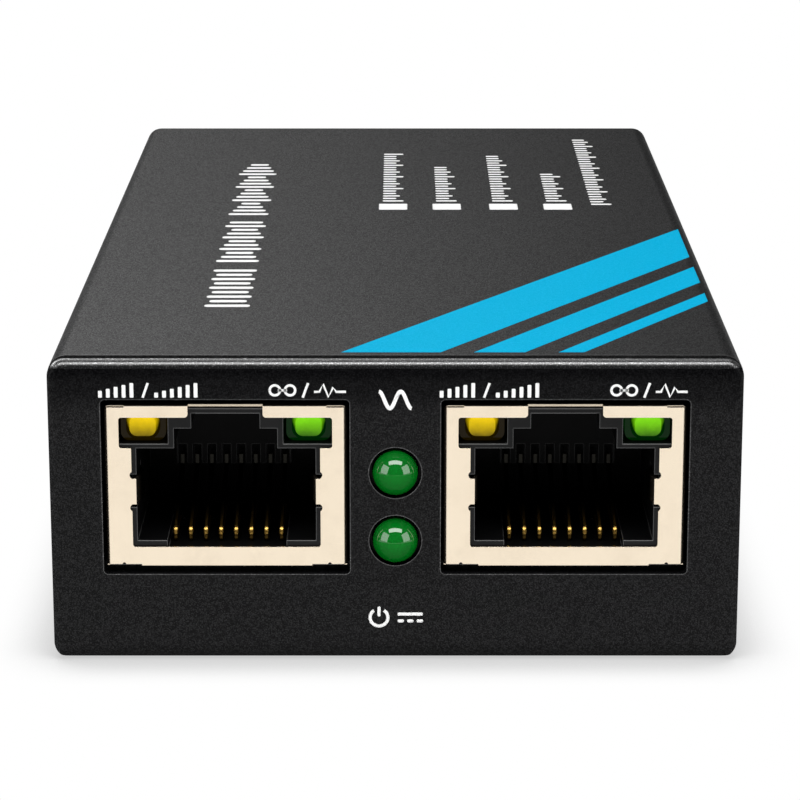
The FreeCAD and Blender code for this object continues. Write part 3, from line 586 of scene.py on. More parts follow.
@dataclass(frozen=True)
class LampLens:
    """Tinted lamp moulding with a clear skin, deeper in tone towards its rim; on a jack lamp
    painted shade also darkens it towards its back and its bottom, and its emission is painted
    light.
    """

    name: str
    core: tuple = (0.001, 0.150, 0.012)
    deep: tuple = (0.0, 0.055, 0.002)
    front: tuple = (0.0, 0.0)
    back_shade_reach: float = 0.0
    fall: float = 1.8 * MM
    low_shade_share: float = 0.95
    turn_blend: float = 0.4
    turn_share: float = 0.8
    haze: float = 0.5 * MM
    haze_climb: tuple = (0.5, 0.2)
    glow: float = 0.0
    rim: float = 0.0
    roughness: tuple = (0.07, 0.14)
    relief: float = 0.001 * MM
    skin_index: float = 1.85
    skin_roughness: float = 0.03
    coat: float = 1.0
    coat_share: tuple = (0.10, 1.0)
    coat_loss: float = 0.6
    level: float = -1.0
    lit_above: tuple = (0.18 * MM, 0.24 * MM)

    def build(self) -> bpy.types.Material:
        """Mix the two tones by how far the skin turns away, by haze, and on a jack lamp by painted
        shade that grows with the depth behind the front and the drop below the top.

        Returns:
            The lens's material.
        """
        shader = Shader(self.name)
        weight = shader.node("ShaderNodeLayerWeight", {}, {"Blend": self.turn_blend})
        turned = Signal(shader, weight.outputs["Facing"])
        haze = shader.noise(self.haze, 3.0)
        amount = turned * self.turn_share + haze.tilt(*self.haze_climb)
        # painted shade: the lens darkens behind its front face and below its top
        if self.back_shade_reach:
            face, top = self.front
            amount = amount + shader.axis("Y").ramp(face, face + self.back_shade_reach)
            amount = amount + shader.axis("Z").ramp(top, top - self.fall) * self.low_shade_share
        colour = shader.blend(self.core, self.deep, amount.clamped())
        upper = (shader.axis("Z") - self.level).ramp(*self.lit_above).span(*self.coat_share)
        coat = (upper * self.coat * (1.0 - turned * self.coat_loss)).clamped()
        # the emission makes the lens brighter, as painted light
        return shader.finish(colour, haze.span(*self.roughness),
                             shader.bump(haze, self.relief, self.rim), Coat_Weight=coat,
                             Coat_Roughness=self.skin_roughness, Coat_IOR=self.skin_index,
                             Emission_Color=colour, Emission_Strength=self.glow,
                             Specular_IOR_Level=0.0)


@dataclass(frozen=True)
class PlainMetal:
    """Turned, stamped or drawn metal with fine lines."""

    name: str
    colour: tuple = (0.62, 0.63, 0.65)
    roughness: tuple = (0.25, 0.4)
    stretch: tuple = (1.0, 1.0, 0.15)
    line: float = 0.1 * MM
    stain: float = 1.6 * MM
    stain_climb: tuple = (0.4, 1.6)
    stain_tone: float = 0.72
    relief: float = 0.002 * MM
    rim: float = 0.06 * MM

    def build(self) -> bpy.types.Material:
        """Put fine lines in the roughness and bump, and stains in the colour.

        Returns:
            The metal's material.
        """
        shader = Shader(self.name)
        lines = shader.noise(self.line, 2.0, self.stretch)
        stains = shader.noise(self.stain, 3.0)
        colour = shader.blend(self.colour, toned(self.colour, self.stain_tone),
                              stains.rise(*self.stain_climb))
        rough = lines.mixed(stains, 0.5).clamped().span(*self.roughness)
        return shader.finish(colour, rough, shader.bump(lines, self.relief, self.rim), Metallic=1.0)


@dataclass(frozen=True)
class SolderMask:
    """Black mask over a woven laminate, with the weave and the tracks just showing."""

    name: str = "solder_mask"
    colour: tuple = (0.003, 0.0032, 0.003)
    track: tuple = (0.007, 0.008, 0.007)
    track_size: float = 2.2 * MM
    track_edge: float = 0.55
    track_tone: float = 0.8
    pitch: float = 0.8 * MM
    weave_tone: float = 0.15
    weave_share: float = 0.3
    relief: float = 0.02 * MM
    roughness: tuple = (0.25, 0.4)
    gloss: float = 0.2

    def build(self) -> bpy.types.Material:
        """Cross two waves for the weave and step random cells for the tracks.

        Returns:
            The mask's material.
        """
        shader = Shader(self.name)
        waves = [shader.axis(name).wave(self.pitch) for name in "XY"]
        weave = (waves[0] * waves[1]).span(0.5, 1.0)
        tracks = shader.cell_shade(self.track_size).above(self.track_edge)
        colour = shader.blend(self.colour, self.track,
                              tracks * self.track_tone + weave * self.weave_tone)
        return shader.finish(colour, weave.span(*self.roughness),
                             shader.bump(tracks.mixed(weave, self.weave_share), self.relief),
                             Specular_IOR_Level=self.gloss)


@dataclass(frozen=True)
class Ceramic:
    """Ground zirconia: white, hard and finely ground."""

    name: str = "ground_zirconia"
    colour: tuple = (0.86, 0.85, 0.80)
    warm: float = 0.93
    line: float = 0.08 * MM
    ground: tuple = (1.0, 0.2, 1.0)
    mottle: float = 0.8 * MM
    roughness: tuple = (0.12, 0.25)
    relief: float = 0.001 * MM

    def build(self) -> bpy.types.Material:
        """Draw ground lines around the bore over a faint mottle.

        Returns:
            The ceramic's material.
        """
        shader = Shader(self.name)
        lines = shader.noise(self.line, 2.0, self.ground)
        colour = shader.blend(self.colour, toned(self.colour, self.warm), shader.noise(self.mottle))
        return shader.finish(colour, lines.span(*self.roughness), shader.bump(lines, self.relief))


TIN = PlatedSheet("tin_plate", (0.72, 0.72, 0.72), (0.6, 0.6, 0.6))


# ---------------------------------------------------------------- smooth shading of round faces
class SmoothRound:
    """Modifier that joins loose faces and shades gentle bends smoothly, sharp edges flat."""

    def __init__(self, turn: float = math.radians(32)) -> None:
        """Build the node group once.

        Args:
            turn: edges that turn by less than this are shaded smoothly.
        """
        self.tree = bpy.data.node_groups.new("smooth_round", "GeometryNodeTree")
        for way in ("INPUT", "OUTPUT"):
            self.tree.interface.new_socket("Mesh", in_out=way, socket_type="NodeSocketGeometry")
        sheet = NodeSheet(self.tree)
        loose = sheet.node("NodeGroupInput").outputs[0]
        joined = sheet.node("GeometryNodeMergeByDistance", {},
                            {"Geometry": loose, "Distance": WELD}).outputs[0]
        faces = sheet.node("GeometryNodeSetShadeSmooth", {"domain": "FACE"},
                           {"Geometry": joined}).outputs[0]
        angle = sheet.node("GeometryNodeInputMeshEdgeAngle").outputs["Unsigned Angle"]
        sharp = sheet.node("FunctionNodeCompare",
                           {"data_type": "FLOAT", "operation": "GREATER_THAN"},
                           {0: angle, 1: turn}).outputs[0]
        edges = sheet.node("GeometryNodeSetShadeSmooth", {"domain": "EDGE"},
                           {"Geometry": faces, "Selection": sharp, "Shade Smooth": False})
        sheet.node("NodeGroupOutput", {}, {0: edges.outputs[0]})

    def on(self, piece: bpy.types.Object) -> None:
        """Put the modifier on one object."""
        piece.modifiers.new("smooth_round", "NODES").node_group = self.tree


# ---------------------------------------------------------------- printed marks
class Face(Enum):
    """Surface that a mark is printed on."""

    TOP = "top"
    FRONT = "front"


def slab(outline: np.ndarray, low: float, high: float) -> tuple:
    """Thin closed plate over a flat outline.

    The outline's points are repeated at two heights. The side faces join point i of both
    rings to point i + 1.

    Args:
        outline: (n, 2) points, anticlockwise.
        low: height of the underside.
        high: height of the printed face.

    Returns:
        (2n, 3) vertices and the list of faces.
    """
    count = len(outline)
    rings = [np.column_stack([outline, np.full(count, height)]) for height in (low, high)]
    step = np.arange(count)
    ahead = (step + 1) % count
    sides = np.column_stack([step, ahead, ahead + count, step + count]).tolist()
    ends = [list(range(count, 2 * count)), list(range(count - 1, -1, -1))]
    return np.vstack(rings), sides + ends


def rounded_bar(centre: Sequence[float], size: Sequence[float], round_by: float,
                steps: int = 5) -> np.ndarray:
    """Outline of a rectangle with round corners.

    Each corner is a quarter circle: centre of the corner + radius * (cos t, sin t).

    Args:
        centre: middle of the bar.
        size: width and height.
        round_by: corner radius.
        steps: points on each corner.

    Returns:
        (4 * steps, 2) points, anticlockwise.
    """
    half = np.array(size) / 2 - round_by
    turns = np.linspace(0, math.pi / 2, steps)
    quarter = np.column_stack([np.cos(turns), np.sin(turns)]) * round_by
    corners = []
    for index, (across, up) in enumerate(((1, 1), (-1, 1), (-1, -1), (1, -1))):
        turn = index * math.pi / 2
        spin = np.array([[math.cos(turn), math.sin(turn)], [-math.sin(turn), math.cos(turn)]])
        corners.append(quarter @ spin + half * (across, up))
    return np.vstack(corners) + np.array(centre)


def arc_band(centre: Sequence[float], radius: float, width: float, start: float, stop: float,
             steps: int = 28) -> np.ndarray:
    """Outline of a bent bar: an outer arc one way and an inner arc back.

    Args:
        centre: centre of the arc.
        radius: radius of the bar's middle line.
        width: width of the bar.
        start: first angle, in radians.
        stop: last angle, in radians.
        steps: points on each arc.

    Returns:
        (2 * steps, 2) points, anticlockwise.
    """
    turns = np.linspace(start, stop, steps)
    ring = np.column_stack([np.cos(turns), np.sin(turns)])
    outer, inner = ring * (radius + width / 2), ring[::-1] * (radius - width / 2)
    return np.vstack([outer, inner]) + np.array(centre)


def stroke(path: np.ndarray, origin: Sequence[float], width: float) -> np.ndarray:
    """Outline of a pen line: the path moved out to both sides by half the width.

    Args:
        path: (n, 2) points, counted from the origin.
        origin: point that the path is placed around.
        width: width of the line.

    Returns:
        (2n, 2) points, anticlockwise.
    """
    along = np.gradient(path, axis=0)
    side = np.column_stack([along[:, 1], -along[:, 0]])
    side *= width / 2 / np.linalg.norm(side, axis=1, keepdims=True)
    return np.vstack([path + side, (path - side)[::-1]]) + np.array(origin)


@dataclass
class BarRow:
    """Row of upright bars along the left of the lid, in groups.

    A group is its number of bars and the number after which its falling heights start again.
    """

    groups: tuple = ((9, 2), (11, 3), (16, 4))
    across: float = -11.85 * MM
    start: float = 14.2 * MM
    pitch: float = 1.42 * MM
    gap: float = 1.9 * MM
    width: float = 0.72 * MM
    tallest: float = 3.2 * MM
    fall: float = 0.55 * MM
    corner: float = 0.25 * MM

    def outlines(self, near: float) -> list:
        """Outlines of the bars.

        Args:
            near: front edge of the lid.

        Returns:
            One outline for each bar.
        """
        shapes, along = [], near + self.start
        for count, run in self.groups:
            for index in range(count):
                tall = self.tallest - self.fall * (index % run)
                shapes.append(rounded_bar((self.across, along), (tall, self.width), self.corner))
                along += self.pitch
            along += self.gap
        return shapes


@dataclass
class ScaleRows:
    """Four squares, each with a row of fine ticks behind it, and a fifth row by itself.

    A row is its place across the lid and its number of ticks.
    """

    rows: tuple = ((-0.25 * MM, 21), (4.1 * MM, 15), (8.7 * MM, 20), (13.1 * MM, 12))
    lone_row: tuple = (16.7 * MM, 29)
    start: float = 48.2 * MM
    square: tuple = (2.3 * MM, 2.4 * MM)
    behind_square: float = 3.6 * MM
    lone_start: float = 2.2 * MM
    pitch: float = 1.05 * MM
    heights: tuple = (1.7 * MM, 1.1 * MM, 1.4 * MM, 1.1 * MM, 1.1 * MM)
    width: float = 0.5 * MM
    corner: float = 0.15 * MM

    def ticks(self, across: float, start: float, count: int) -> list:
        """Upright ticks of three heights that stand on one line, like a scale's divisions.

        Args:
            across: middle of the tallest ticks.
            start: where the row begins.
            count: number of ticks.

        Returns:
            One outline for each tick.
        """
        shapes = []
        for index in range(count):
            tall = self.heights[index % len(self.heights)]
            at = (across - (self.heights[0] - tall) / 2, start + index * self.pitch)
            shapes.append(rounded_bar(at, (tall, self.width), self.corner))
        return shapes

    def outlines(self, near: float) -> list:
        """Outlines of the squares and ticks.

        Args:
            near: front edge of the lid.

        Returns:
            One outline for each square and tick.
        """
        start, shapes = near + self.start, []
        for across, count in self.rows:
            middle = (across, start + self.square[1] / 2)
            shapes.append(rounded_bar(middle, self.square, self.corner))
            shapes += self.ticks(across, start + self.behind_square, count)
        across, count = self.lone_row
        return shapes + self.ticks(across, start + self.lone_start, count)


@dataclass
class Bands:
    """Slanted bands that run from the front edge of the lid to its right edge.

    A band is the strip between two parallel lines, cut off at the front and at the right. It
    is given by the place across the lid where it starts and by its width along the front.
    """

    bands: tuple = ((-3.6 * MM, 6.6 * MM), (5.2 * MM, 3.4 * MM), (10.8 * MM, 1.7 * MM))
    slope: float = 1.55
    front_margin: float = 0.7 * MM
    side_margin: float = 0.9 * MM

    def outlines(self, near: float, side: float) -> list:
        """Outlines of the bands.

        Args:
            near: front edge of the lid.
            side: right edge of the lid.

        Returns:
            One outline for each band.
        """
        near, right = near + self.front_margin, side - self.side_margin
        shapes = []
        for low, width in self.bands:
            high = low + width
            shapes.append(np.array([(low, near), (high, near),
                                    (right, near + (right - high) * self.slope),
                                    (right, near + (right - low) * self.slope)]))
        return shapes


@dataclass
class JackIcons:
    """Marks over one jack: two sets of rising bars at the left, a link and a pulse at the right.

    Places are counted from a point over the middle of the jack, and the pulse in millimetres.
    """

    aside: float = -0.1 * MM
    above: float = 1.15 * MM
    pen: float = 0.17 * MM
    bar_sets: tuple = ((-8.1 * MM, 5), (-4.4 * MM, 6))
    bar_pitch: float = 0.52 * MM
    bar_width: float = 0.26 * MM
    bar_tallest: float = 1.0 * MM
    bar_step: float = 0.13 * MM
    bar_corner: float = 0.06 * MM
    slashes: tuple = (-5.3 * MM, 5.25 * MM)
    slash: tuple = (0.36 * MM, 1.0 * MM)
    rings: tuple = (3.42 * MM, 4.42 * MM)
    ring_radius: float = 0.34 * MM
    ring_gap: float = 0.02
    ring_steps: int = 24
    link: tuple = (3.92 * MM, 0.62 * MM)
    link_corner: float = 0.05 * MM
    pulse: tuple = ((6.0, -0.1), (6.35, -0.1), (6.6, 0.42), (6.95, -0.45), (7.25, 0.2),
                    (7.45, -0.1), (8.1, -0.1))

    def outlines(self, jack: str) -> list:
        """Outlines of the marks over one jack.

        Args:
            jack: node of the jack's shield.

        Returns:
            The outlines, from left to right.
        """
        low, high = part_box(jack)
        middle, level = (low[0] + high[0]) / 2 + self.aside, high[2] + self.above
        shapes = []
        for start, count in self.bar_sets:
            for index in range(count):
                tall = self.bar_tallest - self.bar_step * (count - 1 - index)
                at = (middle + start + index * self.bar_pitch,
                      level - self.bar_tallest / 2 + tall / 2)
                shapes.append(rounded_bar(at, (self.bar_width, tall), self.bar_corner))
        run, rise = self.slash
        for start in self.slashes:
            path = np.array([(start, -rise / 2), (start + run, rise / 2)])
            shapes.append(stroke(path, (middle, level), self.pen))
        for place in self.rings:
            shapes.append(arc_band((middle + place, level), self.ring_radius, self.pen,
                                   self.ring_gap - math.pi, math.pi - self.ring_gap,
                                   self.ring_steps))
        place, length = self.link
        shapes.append(rounded_bar((middle + place, level), (length, self.pen), self.link_corner))
        shapes.append(stroke(np.array(self.pulse) * MM, (middle, level), self.pen))
        return shapes


@dataclass
class LampIcons:
    """A wave over the upper lamp, and a power sign and a direct-current sign under the lower."""

    wave_size: tuple = (1.08 * MM, 0.58 * MM)
    wave_turns: float = 0.75
    wave_steps: int = 41
    wave_pen: float = 0.26 * MM
    wave_up: float = 0.35 * MM
    sign: tuple = (-1.1 * MM, -3.75 * MM)
    sign_radius: float = 0.6 * MM
    sign_gap: float = math.radians(34)
    sign_bar: tuple = (0.22 * MM, 0.72 * MM)
    sign_bar_up: float = 0.42 * MM
    sign_corner: float = 0.1 * MM
    supply_beside: float = 2.1 * MM
    pen: float = 0.22 * MM
    line: float = 1.7 * MM
    dash: float = 0.42 * MM
    dash_pitch: float = 0.64 * MM
    line_up: float = 0.24 * MM
    corner: float = 0.08 * MM

    def outlines(self, front_top: float) -> list:
        """Outlines of the three marks.

        The wave's height is a sine of the way along it. The power sign is an arc open at the
        top with a bar in the opening. The other sign is a line over three dashes.

        Args:
            front_top: top edge of the front.

        Returns:
            The outlines, from top to bottom.
        """
        upper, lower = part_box("upper_front_lamp"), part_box("lower_front_lamp")
        turns = np.linspace(-1.0, 1.0, self.wave_steps)
        wave = np.column_stack([turns, np.sin(turns * math.tau * self.wave_turns)]) * self.wave_size
        over = (0.0, (upper[1][2] + front_top) / 2 + self.wave_up)
        shapes = [stroke(wave, over, self.wave_pen)]
        sign = np.array(self.sign) + (0, lower[0][2])
        opening = math.pi / 2 + self.sign_gap
        shapes.append(arc_band(sign, self.sign_radius, self.pen, opening,
                               math.pi - opening + math.tau))
        shapes.append(rounded_bar(sign + (0, self.sign_bar_up), self.sign_bar, self.sign_corner))
        supply = sign + (self.supply_beside, 0)
        shapes.append(rounded_bar(supply + (0, self.line_up), (self.line, self.pen), self.corner))
        for index in (-1, 0, 1):
            at = supply + (index * self.dash_pitch, -self.line_up)
            shapes.append(rounded_bar(at, (self.dash, self.pen), self.corner))
        return shapes


@dataclass
class PrintedMarks:
    """Generic marks printed on the case, as thin films of ink."""

    film: float = 0.012 * MM
    sink: float = 0.004 * MM
    top: tuple = field(default_factory=lambda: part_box("top_cover"))
    front: tuple = field(default_factory=lambda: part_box("chassis"))

    def lay(self, name: str, outlines: Sequence[np.ndarray], face: Face,
            material: bpy.types.Material) -> None:
        """Turn outlines into one printed piece.

        Args:
            name: the piece's name.
            outlines: flat outlines. On the top they are (x, y), on the front (x, z).
            face: the surface that carries them.
            material: the ink, named like the slot it stands for.
        """
        points, faces, start = [], [], 0
        for outline in outlines:
            vertices, polygons = slab(outline, -self.sink, self.film)
            points.append(vertices)
            faces += [[index + start for index in polygon] for polygon in polygons]
            start += len(vertices)
        flat = np.vstack(points)
        if face is Face.TOP:
            placed = flat + np.array([0, 0, self.top[1][2]])
        else:
            placed = np.column_stack([flat[:, 0], self.front[0][1] - flat[:, 2], flat[:, 1]])
        mesh = bpy.data.meshes.new(name)
        mesh.from_pydata(placed.tolist(), [], faces)
        mesh.validate()
        mesh.materials.append(material)
        piece = bpy.data.objects.new(name, mesh)
        bpy.context.scene.collection.objects.link(piece)
        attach(piece, "root")
        LOG.info("%s: %s", name, material.name)

    def build(self, white: bpy.types.Material, cyan: bpy.types.Material) -> None:
        """Print every mark.

        Args:
            white: ink of the small marks.
            cyan: ink of the bands.
        """
        near, side = self.top[0][1], self.top[1][0]
        self.lay("lid_rhythm_print", BarRow().outlines(near), Face.TOP, white)
        self.lay("lid_list_print", ScaleRows().outlines(near), Face.TOP, white)
        self.lay("lid_band_print", Bands().outlines(near, side), Face.TOP, cyan)
        for jack in ("left_jack_", "right_jack_"):
            self.lay(jack + "print", JackIcons().outlines(jack + "shield"), Face.FRONT, white)
        self.lay("lamp_print", LampIcons().outlines(self.front[1][2]), Face.FRONT, white)


# ---------------------------------------------------------------- case and its parts
@dataclass
class Dresser:
    """Gives each node of the frame its finish."""

    smooth: SmoothRound
    finishes: dict = field(default_factory=dict)

    def material(self, finish: Any) -> bpy.types.Material:
        """Material of a finish, built once for each name.

        Args:
            finish: the finish to build.

        Returns:
            The finish's material.
        """
        if finish.name not in self.finishes:
            self.finishes[finish.name] = finish.build()
        return self.finishes[finish.name]

    def dress(self, finish: Any, *nodes: str) -> None:
        """Put one finish on several nodes.

        Args:
            finish: the finish to build.
            nodes: names of frame nodes.
        """
        material = self.material(finish)
        for name in nodes:
            piece = bpy.data.objects[name]
            for slot in piece.material_slots:
                slot.link = "OBJECT"
                slot.material = material
            self.smooth.on(piece)
            LOG.info("%s: %s", name, finish.name)


@dataclass
class Case:
    """Folded chassis, lid and their screws, with the inks that are printed on them."""

    coat: PowderCoat = PowderCoat("black_powder", shine=0.056, rim_shine=1.2, gloss_index=3.2,
                                  front=FrontEdge())
    # the lid's coat is the chassis coat made several times lighter and shinier, as painted light on
    # the top face
    lid: PowderCoat = PowderCoat("lid_powder_painted_light", (0.010, 0.010, 0.0102), 2.0, shine=0.23)
    screws: PlainMetal = PlainMetal("black_zinc", (0.03, 0.03, 0.032), (0.3, 0.45))
    zinc: PlainMetal = PlainMetal("bright_zinc")
    white: PowderCoat = PowderCoat("white_ink", (0.95, 0.95, 0.94), 1.1, relief=0.02 * MM,
                                   shine=0.08, rim_shine=0.0)
    cyan: PowderCoat = PowderCoat("cyan_ink", (0.002, 0.385, 0.64), 1.12, relief=0.02 * MM,
                                  shine=0.06, rim_shine=0.0)

    def build(self, dresser: Dresser) -> None:
        """Dress the case.

        Args:
            dresser: what gives the nodes their finishes.
        """
        dresser.dress(self.coat, "chassis")
        dresser.dress(self.lid, "top_cover")
        dresser.dress(self.screws, "cover_screws")
        dresser.dress(self.zinc, "board_standoffs", "board_screws")

    def print_marks(self, dresser: Dresser) -> None:
        """Print the marks on the case."""
        PrintedMarks().build(dresser.material(self.white), dresser.material(self.cyan))


@dataclass
class NetworkJack:
    """One shielded jack with its insert, contacts and lamps.

    Depths are counted inwards from the jack's face. A lens is its tint, the tone of its core
    and the tone of its depth, which also serves as painted shade.
    """

    side: str
    # depths behind the face over which the shield's plate darkens, as painted shade
    plate_shade_depths: tuple = (0.3 * MM, 1.2 * MM)
    mouth: tuple = (9.1 * MM, 10.1 * MM)
    gilt_below: float = 9.4 * MM
    lenses: tuple = (("amber", (0.53, 0.37, 0.001), (0.005, 0.003, 0.0)),
                     ("green", (0.128, 0.43, 0.003), (0.0, 0.008, 0.0005)))
    # depth over which a jack lens darkens behind its face, as painted shade
    lens_shade_depth: float = 0.55 * MM
    lens_rim: float = 0.2 * MM
    # emission of the jack lenses, as painted light
    lens_painted_glow: float = 1.6
    lens_coat: float = 0.10
    legs: PlatedSheet = TIN

    def build(self, dresser: Dresser) -> None:
        """Dress the jack.

        Args:
            dresser: what gives the nodes their finishes.
        """
        name = self.side + "_jack_"
        (_, face, _), (_, _, roof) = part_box(name + "shield")
        (_, lens, _), (_, _, lens_top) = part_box(name + "amber_lamp")
        inside, mouth = (tuple(face + depth for depth in pair)
                         for pair in (self.plate_shade_depths, self.mouth))
        dresser.dress(PlatedSheet("nickel_plate", inside=inside), name + "shield")
        dresser.dress(Moulding("jack_moulding", mouth=mouth), name + "insert")
        dresser.dress(GoldWire(gilt_top=roof - self.gilt_below), name + "contacts")
        for tint, core, deep in self.lenses:
            finish = LampLens(tint + "_lens", core, deep, (lens, lens_top), self.lens_shade_depth,
                              glow=self.lens_painted_glow, rim=self.lens_rim, coat=self.lens_coat)
            dresser.dress(finish, name + tint + "_lamp")
        dresser.dress(self.legs, name + "lamp_leads")


@dataclass
class FrontLamps:
    """Two round lamps in their holder."""

    holder: Moulding = Moulding("holder_moulding")
    legs: PlatedSheet = TIN

    def build(self, dresser: Dresser) -> None:
        """Dress the lamps.

        Args:
            dresser: what gives the nodes their finishes.
        """
        for place in ("upper", "lower"):
            low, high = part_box(place + "_front_lamp")
            level = (low[2] + high[2]) / 2
            dresser.dress(LampLens(place + "_lens", level=level), place + "_front_lamp")
        dresser.dress(self.holder, "lamp_holder")
        dresser.dress(self.legs, "lamp_leads")


@dataclass
class BackPorts:
    """Fibre module with its port, and the power inlet."""

    case: Moulding = Moulding("module_moulding", (0.012, 0.012, 0.0125), (0.4, 0.55))
    shell: Moulding = Moulding("port_moulding", (0.008, 0.09, 0.36), (0.35, 0.5), gloss=0.4)
    latch: Moulding = Moulding("latch_moulding", (0.62, 0.62, 0.58), (0.35, 0.5), gloss=0.4)
    sleeve: Ceramic = Ceramic()
    inlet: Moulding = Moulding("inlet_moulding", (0.006, 0.006, 0.0065), (0.4, 0.55))
    metal: PlatedSheet = TIN

    def build(self, dresser: Dresser) -> None:
        """Dress both ports.

        Args:
            dresser: what gives the nodes their finishes.
        """
        dresser.dress(self.case, "fibre_module_case")
        dresser.dress(self.shell, "fibre_port_shell")
        dresser.dress(self.latch, "fibre_port_latch")
        dresser.dress(self.sleeve, "fibre_port_sleeve")
        dresser.dress(self.inlet, "power_inlet_body")
        dresser.dress(self.metal, "fibre_module_pins", "power_inlet_pin", "power_inlet_spring")


@dataclass
class Board:
    """Circuit board and what is soldered to it."""

    mask: SolderMask = SolderMask()
    chips: Moulding = Moulding("chip_epoxy", (0.010, 0.010, 0.011), (0.5, 0.65), 0.06 * MM)
    legs: PlatedSheet = TIN
    can: PlainMetal = PlainMetal("drawn_can", (0.8, 0.8, 0.82), (0.2, 0.32))

    def build(self, dresser: Dresser) -> None:
        """Dress the board.

        Args:
            dresser: what gives the nodes their finishes.
        """
        dresser.dress(self.mask, "main_board")
        dresser.dress(self.chips, "left_transformer", "right_transformer", "switch_chip",
                      "regulator_chip", "power_inductor", "chip_resistors", "capacitor_feet")
        dresser.dress(self.legs, "transformer_leads", "switch_chip_leads")
        dresser.dress(self.can, "crystal_can", "capacitor_cans")


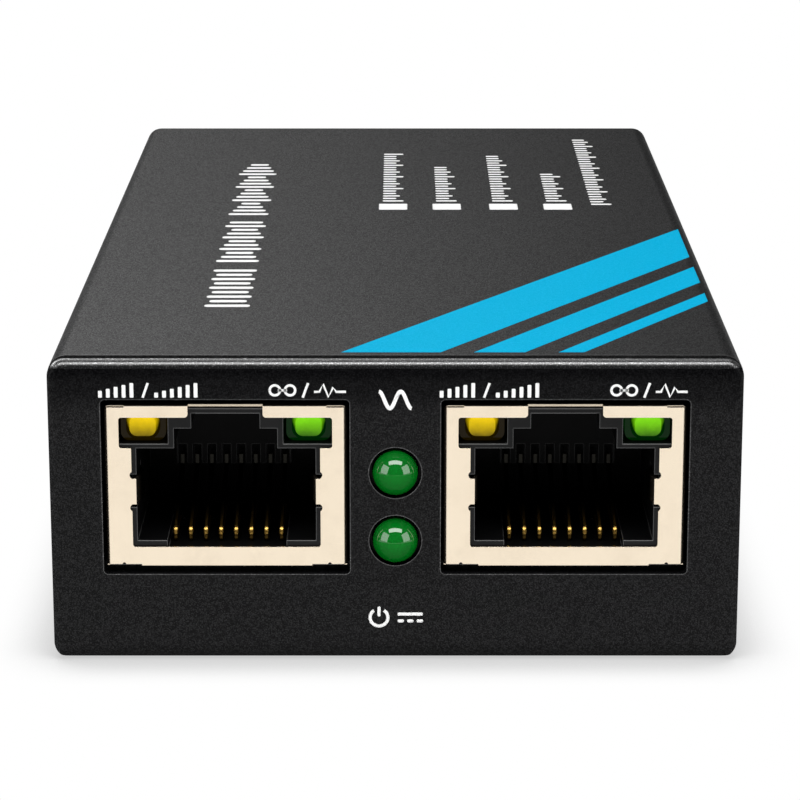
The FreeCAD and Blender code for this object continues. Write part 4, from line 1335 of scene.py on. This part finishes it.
# ---------------------------------------------------------------- stage
@dataclass
class Stage:
    """White floor, surroundings with a pale wall behind the object, and soft lamps.

    A pair named for a climb holds where a direction or a height starts to count, and how
    steeply. A lamp is its name, heading, rise, spread, distance and radiance.
    """

    floor_size: float = 6.0
    floor_level: float = 0.01 * MM
    floor_white: float = 0.92
    plain_light: float = 0.16
    lit_share: float = 0.8
    shadow_inset: float = 0.5 * MM
    side_shadow: float = 2.5 * MM
    end_shadow: float = 6.0 * MM
    contact: float = 5.0 * MM
    contact_rays: int = 12
    contact_climb: tuple = (0.56, 2.6)
    contact_shade: float = 0.70
    wall_behind: tuple = (0.1, 4.0)
    wall_foot: tuple = (0.24, 10.0)
    wall_top: tuple = (0.72, -4.0)
    wall_right: tuple = (0.38 / 3, -3.0)
    wall_side: tuple = (0.07, 1.0)
    wall_light: float = 6.3
    under_climb: tuple = (-0.05, -6.0)
    under_light: float = 2.0
    under_tilt: tuple = (1.4, 2.2)
    least_light: float = 0.04
    lamps: tuple = (("overhead", 0, 68, (62, 22), 0.55, 5.8),
                    ("left", -62, 20, (40, 38), 0.60, 2.5),
                    ("right", 62, 20, (40, 38), 0.60, 2.5),
                    ("back", 180, 55, (40, 30), 0.70, 1.2))
    lamps_face: tuple = (0.0, -44 * MM, 12 * MM)

    def floor(self) -> None:
        """Flat white floor that keeps the object's shadow, adds a painted contact shadow close
        around it, and turns plain white further out.

        It lies a hair above the underside of the case, so the underside shows from below.
        """
        half, level = self.floor_size / 2, self.floor_level
        mesh = bpy.data.meshes.new("floor")
        mesh.from_pydata([(-half, -half, level), (half, -half, level), (half, half, level),
                          (-half, half, level)], [], [(0, 1, 2, 3)])
        shader = Shader("floor_white")
        # painted contact shadow: the floor darkens where ambient occlusion finds the object close
        # by
        near = shader.node("ShaderNodeAmbientOcclusion", {"samples": self.contact_rays},
                           {"Distance": self.contact}).outputs["AO"]
        shade = Signal(shader, near).rise(*self.contact_climb).span(self.contact_shade, 1.0)
        surface = shader.node("ShaderNodeBsdfDiffuse", {},
                              {"Color": shader.grey(shade * self.floor_white)})
        lit = shader.node("ShaderNodeEmission", {}, {"Color": shader.grey(shade), "Strength": 1.0})
        right, back, _ = CAD_BOX[1]
        across = shader.axis("X").outside(right - self.shadow_inset) / self.side_shadow
        along = shader.axis("Y").outside(back - self.shadow_inset) / self.end_shadow
        share = (across + along).clamped().span(self.lit_share, 1.0)
        seen = sum(shader.rays("Camera", "Glossy"))
        mixed = shader.node("ShaderNodeMixShader", {}, {0: (seen * share).clamped(),
                                                        1: surface.outputs[0], 2: lit.outputs[0]})
        shader.node("ShaderNodeOutputMaterial", {}, {"Surface": mixed.outputs[0]})
        mesh.materials.append(shader.material)
        floor = bpy.data.objects.new("floor", mesh)
        bpy.context.scene.collection.objects.link(floor)

    def world(self) -> None:
        """White to the camera; in reflections a wall behind the object, brighter at the left.

        Reflections also find pale ground below the floor, which only the underside meets.
        """
        world = bpy.data.worlds.new("studio")
        bpy.context.scene.world = world
        world.use_nodes = True
        world.node_tree.nodes.clear()
        sky = NodeSheet(world.node_tree)
        right, beyond, above = sky.parts(sky.node("ShaderNodeTexCoord").outputs["Generated"])
        wall = (beyond.rise(*self.wall_behind) * above.rise(*self.wall_foot)
                * above.rise(*self.wall_top)
                * right.rise(*self.wall_right).span(*self.wall_side) * self.wall_light)
        under = above.rise(*self.under_climb) * beyond.span(*self.under_tilt) * self.under_light
        camera, glossy, through = sky.rays("Camera", "Glossy", "Transmission")
        glow = ((camera + through).clamped() + glossy * (wall + under + self.least_light)
                + (1.0 - (camera + through + glossy).clamped()) * self.plain_light)
        light = sky.node("ShaderNodeBackground", {}, {"Color": (1, 1, 1, 1), "Strength": glow})
        sky.node("ShaderNodeOutputWorld", {}, {"Surface": light.outputs[0]})

    def panel(self, name: str, heading: float, rise: float, spread: Sequence[float], away: float,
              radiance: float) -> None:
        """Soft rectangular lamp that faces the object.

        Args:
            name: the lamp's name.
            heading: degrees to the right of the way straight ahead of the front.
            rise: degrees above the floor.
            spread: degrees that its width and its height fill.
            away: distance from the point that it faces, in metres.
            radiance: brightness of its surface, where 1 looks plain white.
        """
        turn, tilt = math.radians(heading), math.radians(rise)
        way = np.array([math.cos(tilt) * math.sin(turn), -math.cos(tilt) * math.cos(turn),
                        math.sin(tilt)])
        size = [2 * away * math.tan(math.radians(angle) / 2) for angle in spread]
        light = bpy.data.lights.new(name, "AREA")
        light.shape, light.size, light.size_y = "RECTANGLE", *size
        light.energy = math.pi * size[0] * size[1] * radiance
        lamp = bpy.data.objects.new(name, light)
        lamp.location = np.array(self.lamps_face) + way * away
        lamp.rotation_euler = (math.pi / 2 - tilt, 0, turn)
        bpy.context.scene.collection.objects.link(lamp)

    def build(self) -> None:
        """Set the floor, the world and the lamps."""
        self.floor()
        self.world()
        for lamp in self.lamps:
            self.panel(*lamp)


@dataclass
class Viewpoint:
    """Camera in front of the panel, a little above it, tilted down."""

    ahead: float = 200.2 * MM
    height: float = 71.5 * MM
    beside: float = 0.31 * MM
    tilt: float = math.radians(90 - 14.91)
    lens: float = 141.5
    sensor: float = 36.0
    sees: tuple = (0.01, 20.0)

    def build(self) -> None:
        """Place the camera and make it the scene's."""
        camera = bpy.data.cameras.new("camera")
        camera.lens, camera.sensor_width = self.lens, self.sensor
        camera.clip_start, camera.clip_end = self.sees
        holder = bpy.data.objects.new("camera", camera)
        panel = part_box("chassis")[0][1]
        holder.location = (self.beside, panel - self.ahead, self.height)
        holder.rotation_euler = (self.tilt, 0, 0)
        bpy.context.scene.collection.objects.link(holder)
        bpy.context.scene.camera = holder


def main() -> None:
    """Build the scene in order and report each piece."""
    logging.basicConfig(level=logging.INFO, format="%(message)s")
    bpy.context.scene.view_settings.view_transform = "Standard"
    dresser = Dresser(SmoothRound())
    case = Case()
    jacks = [NetworkJack(side) for side in ("left", "right")]
    for part in (case, *jacks, FrontLamps(), BackPorts(), Board()):
        part.build(dresser)
    case.print_marks(dresser)
    Stage().build()
    Viewpoint().build()


if __name__ == "__main__":
    main()
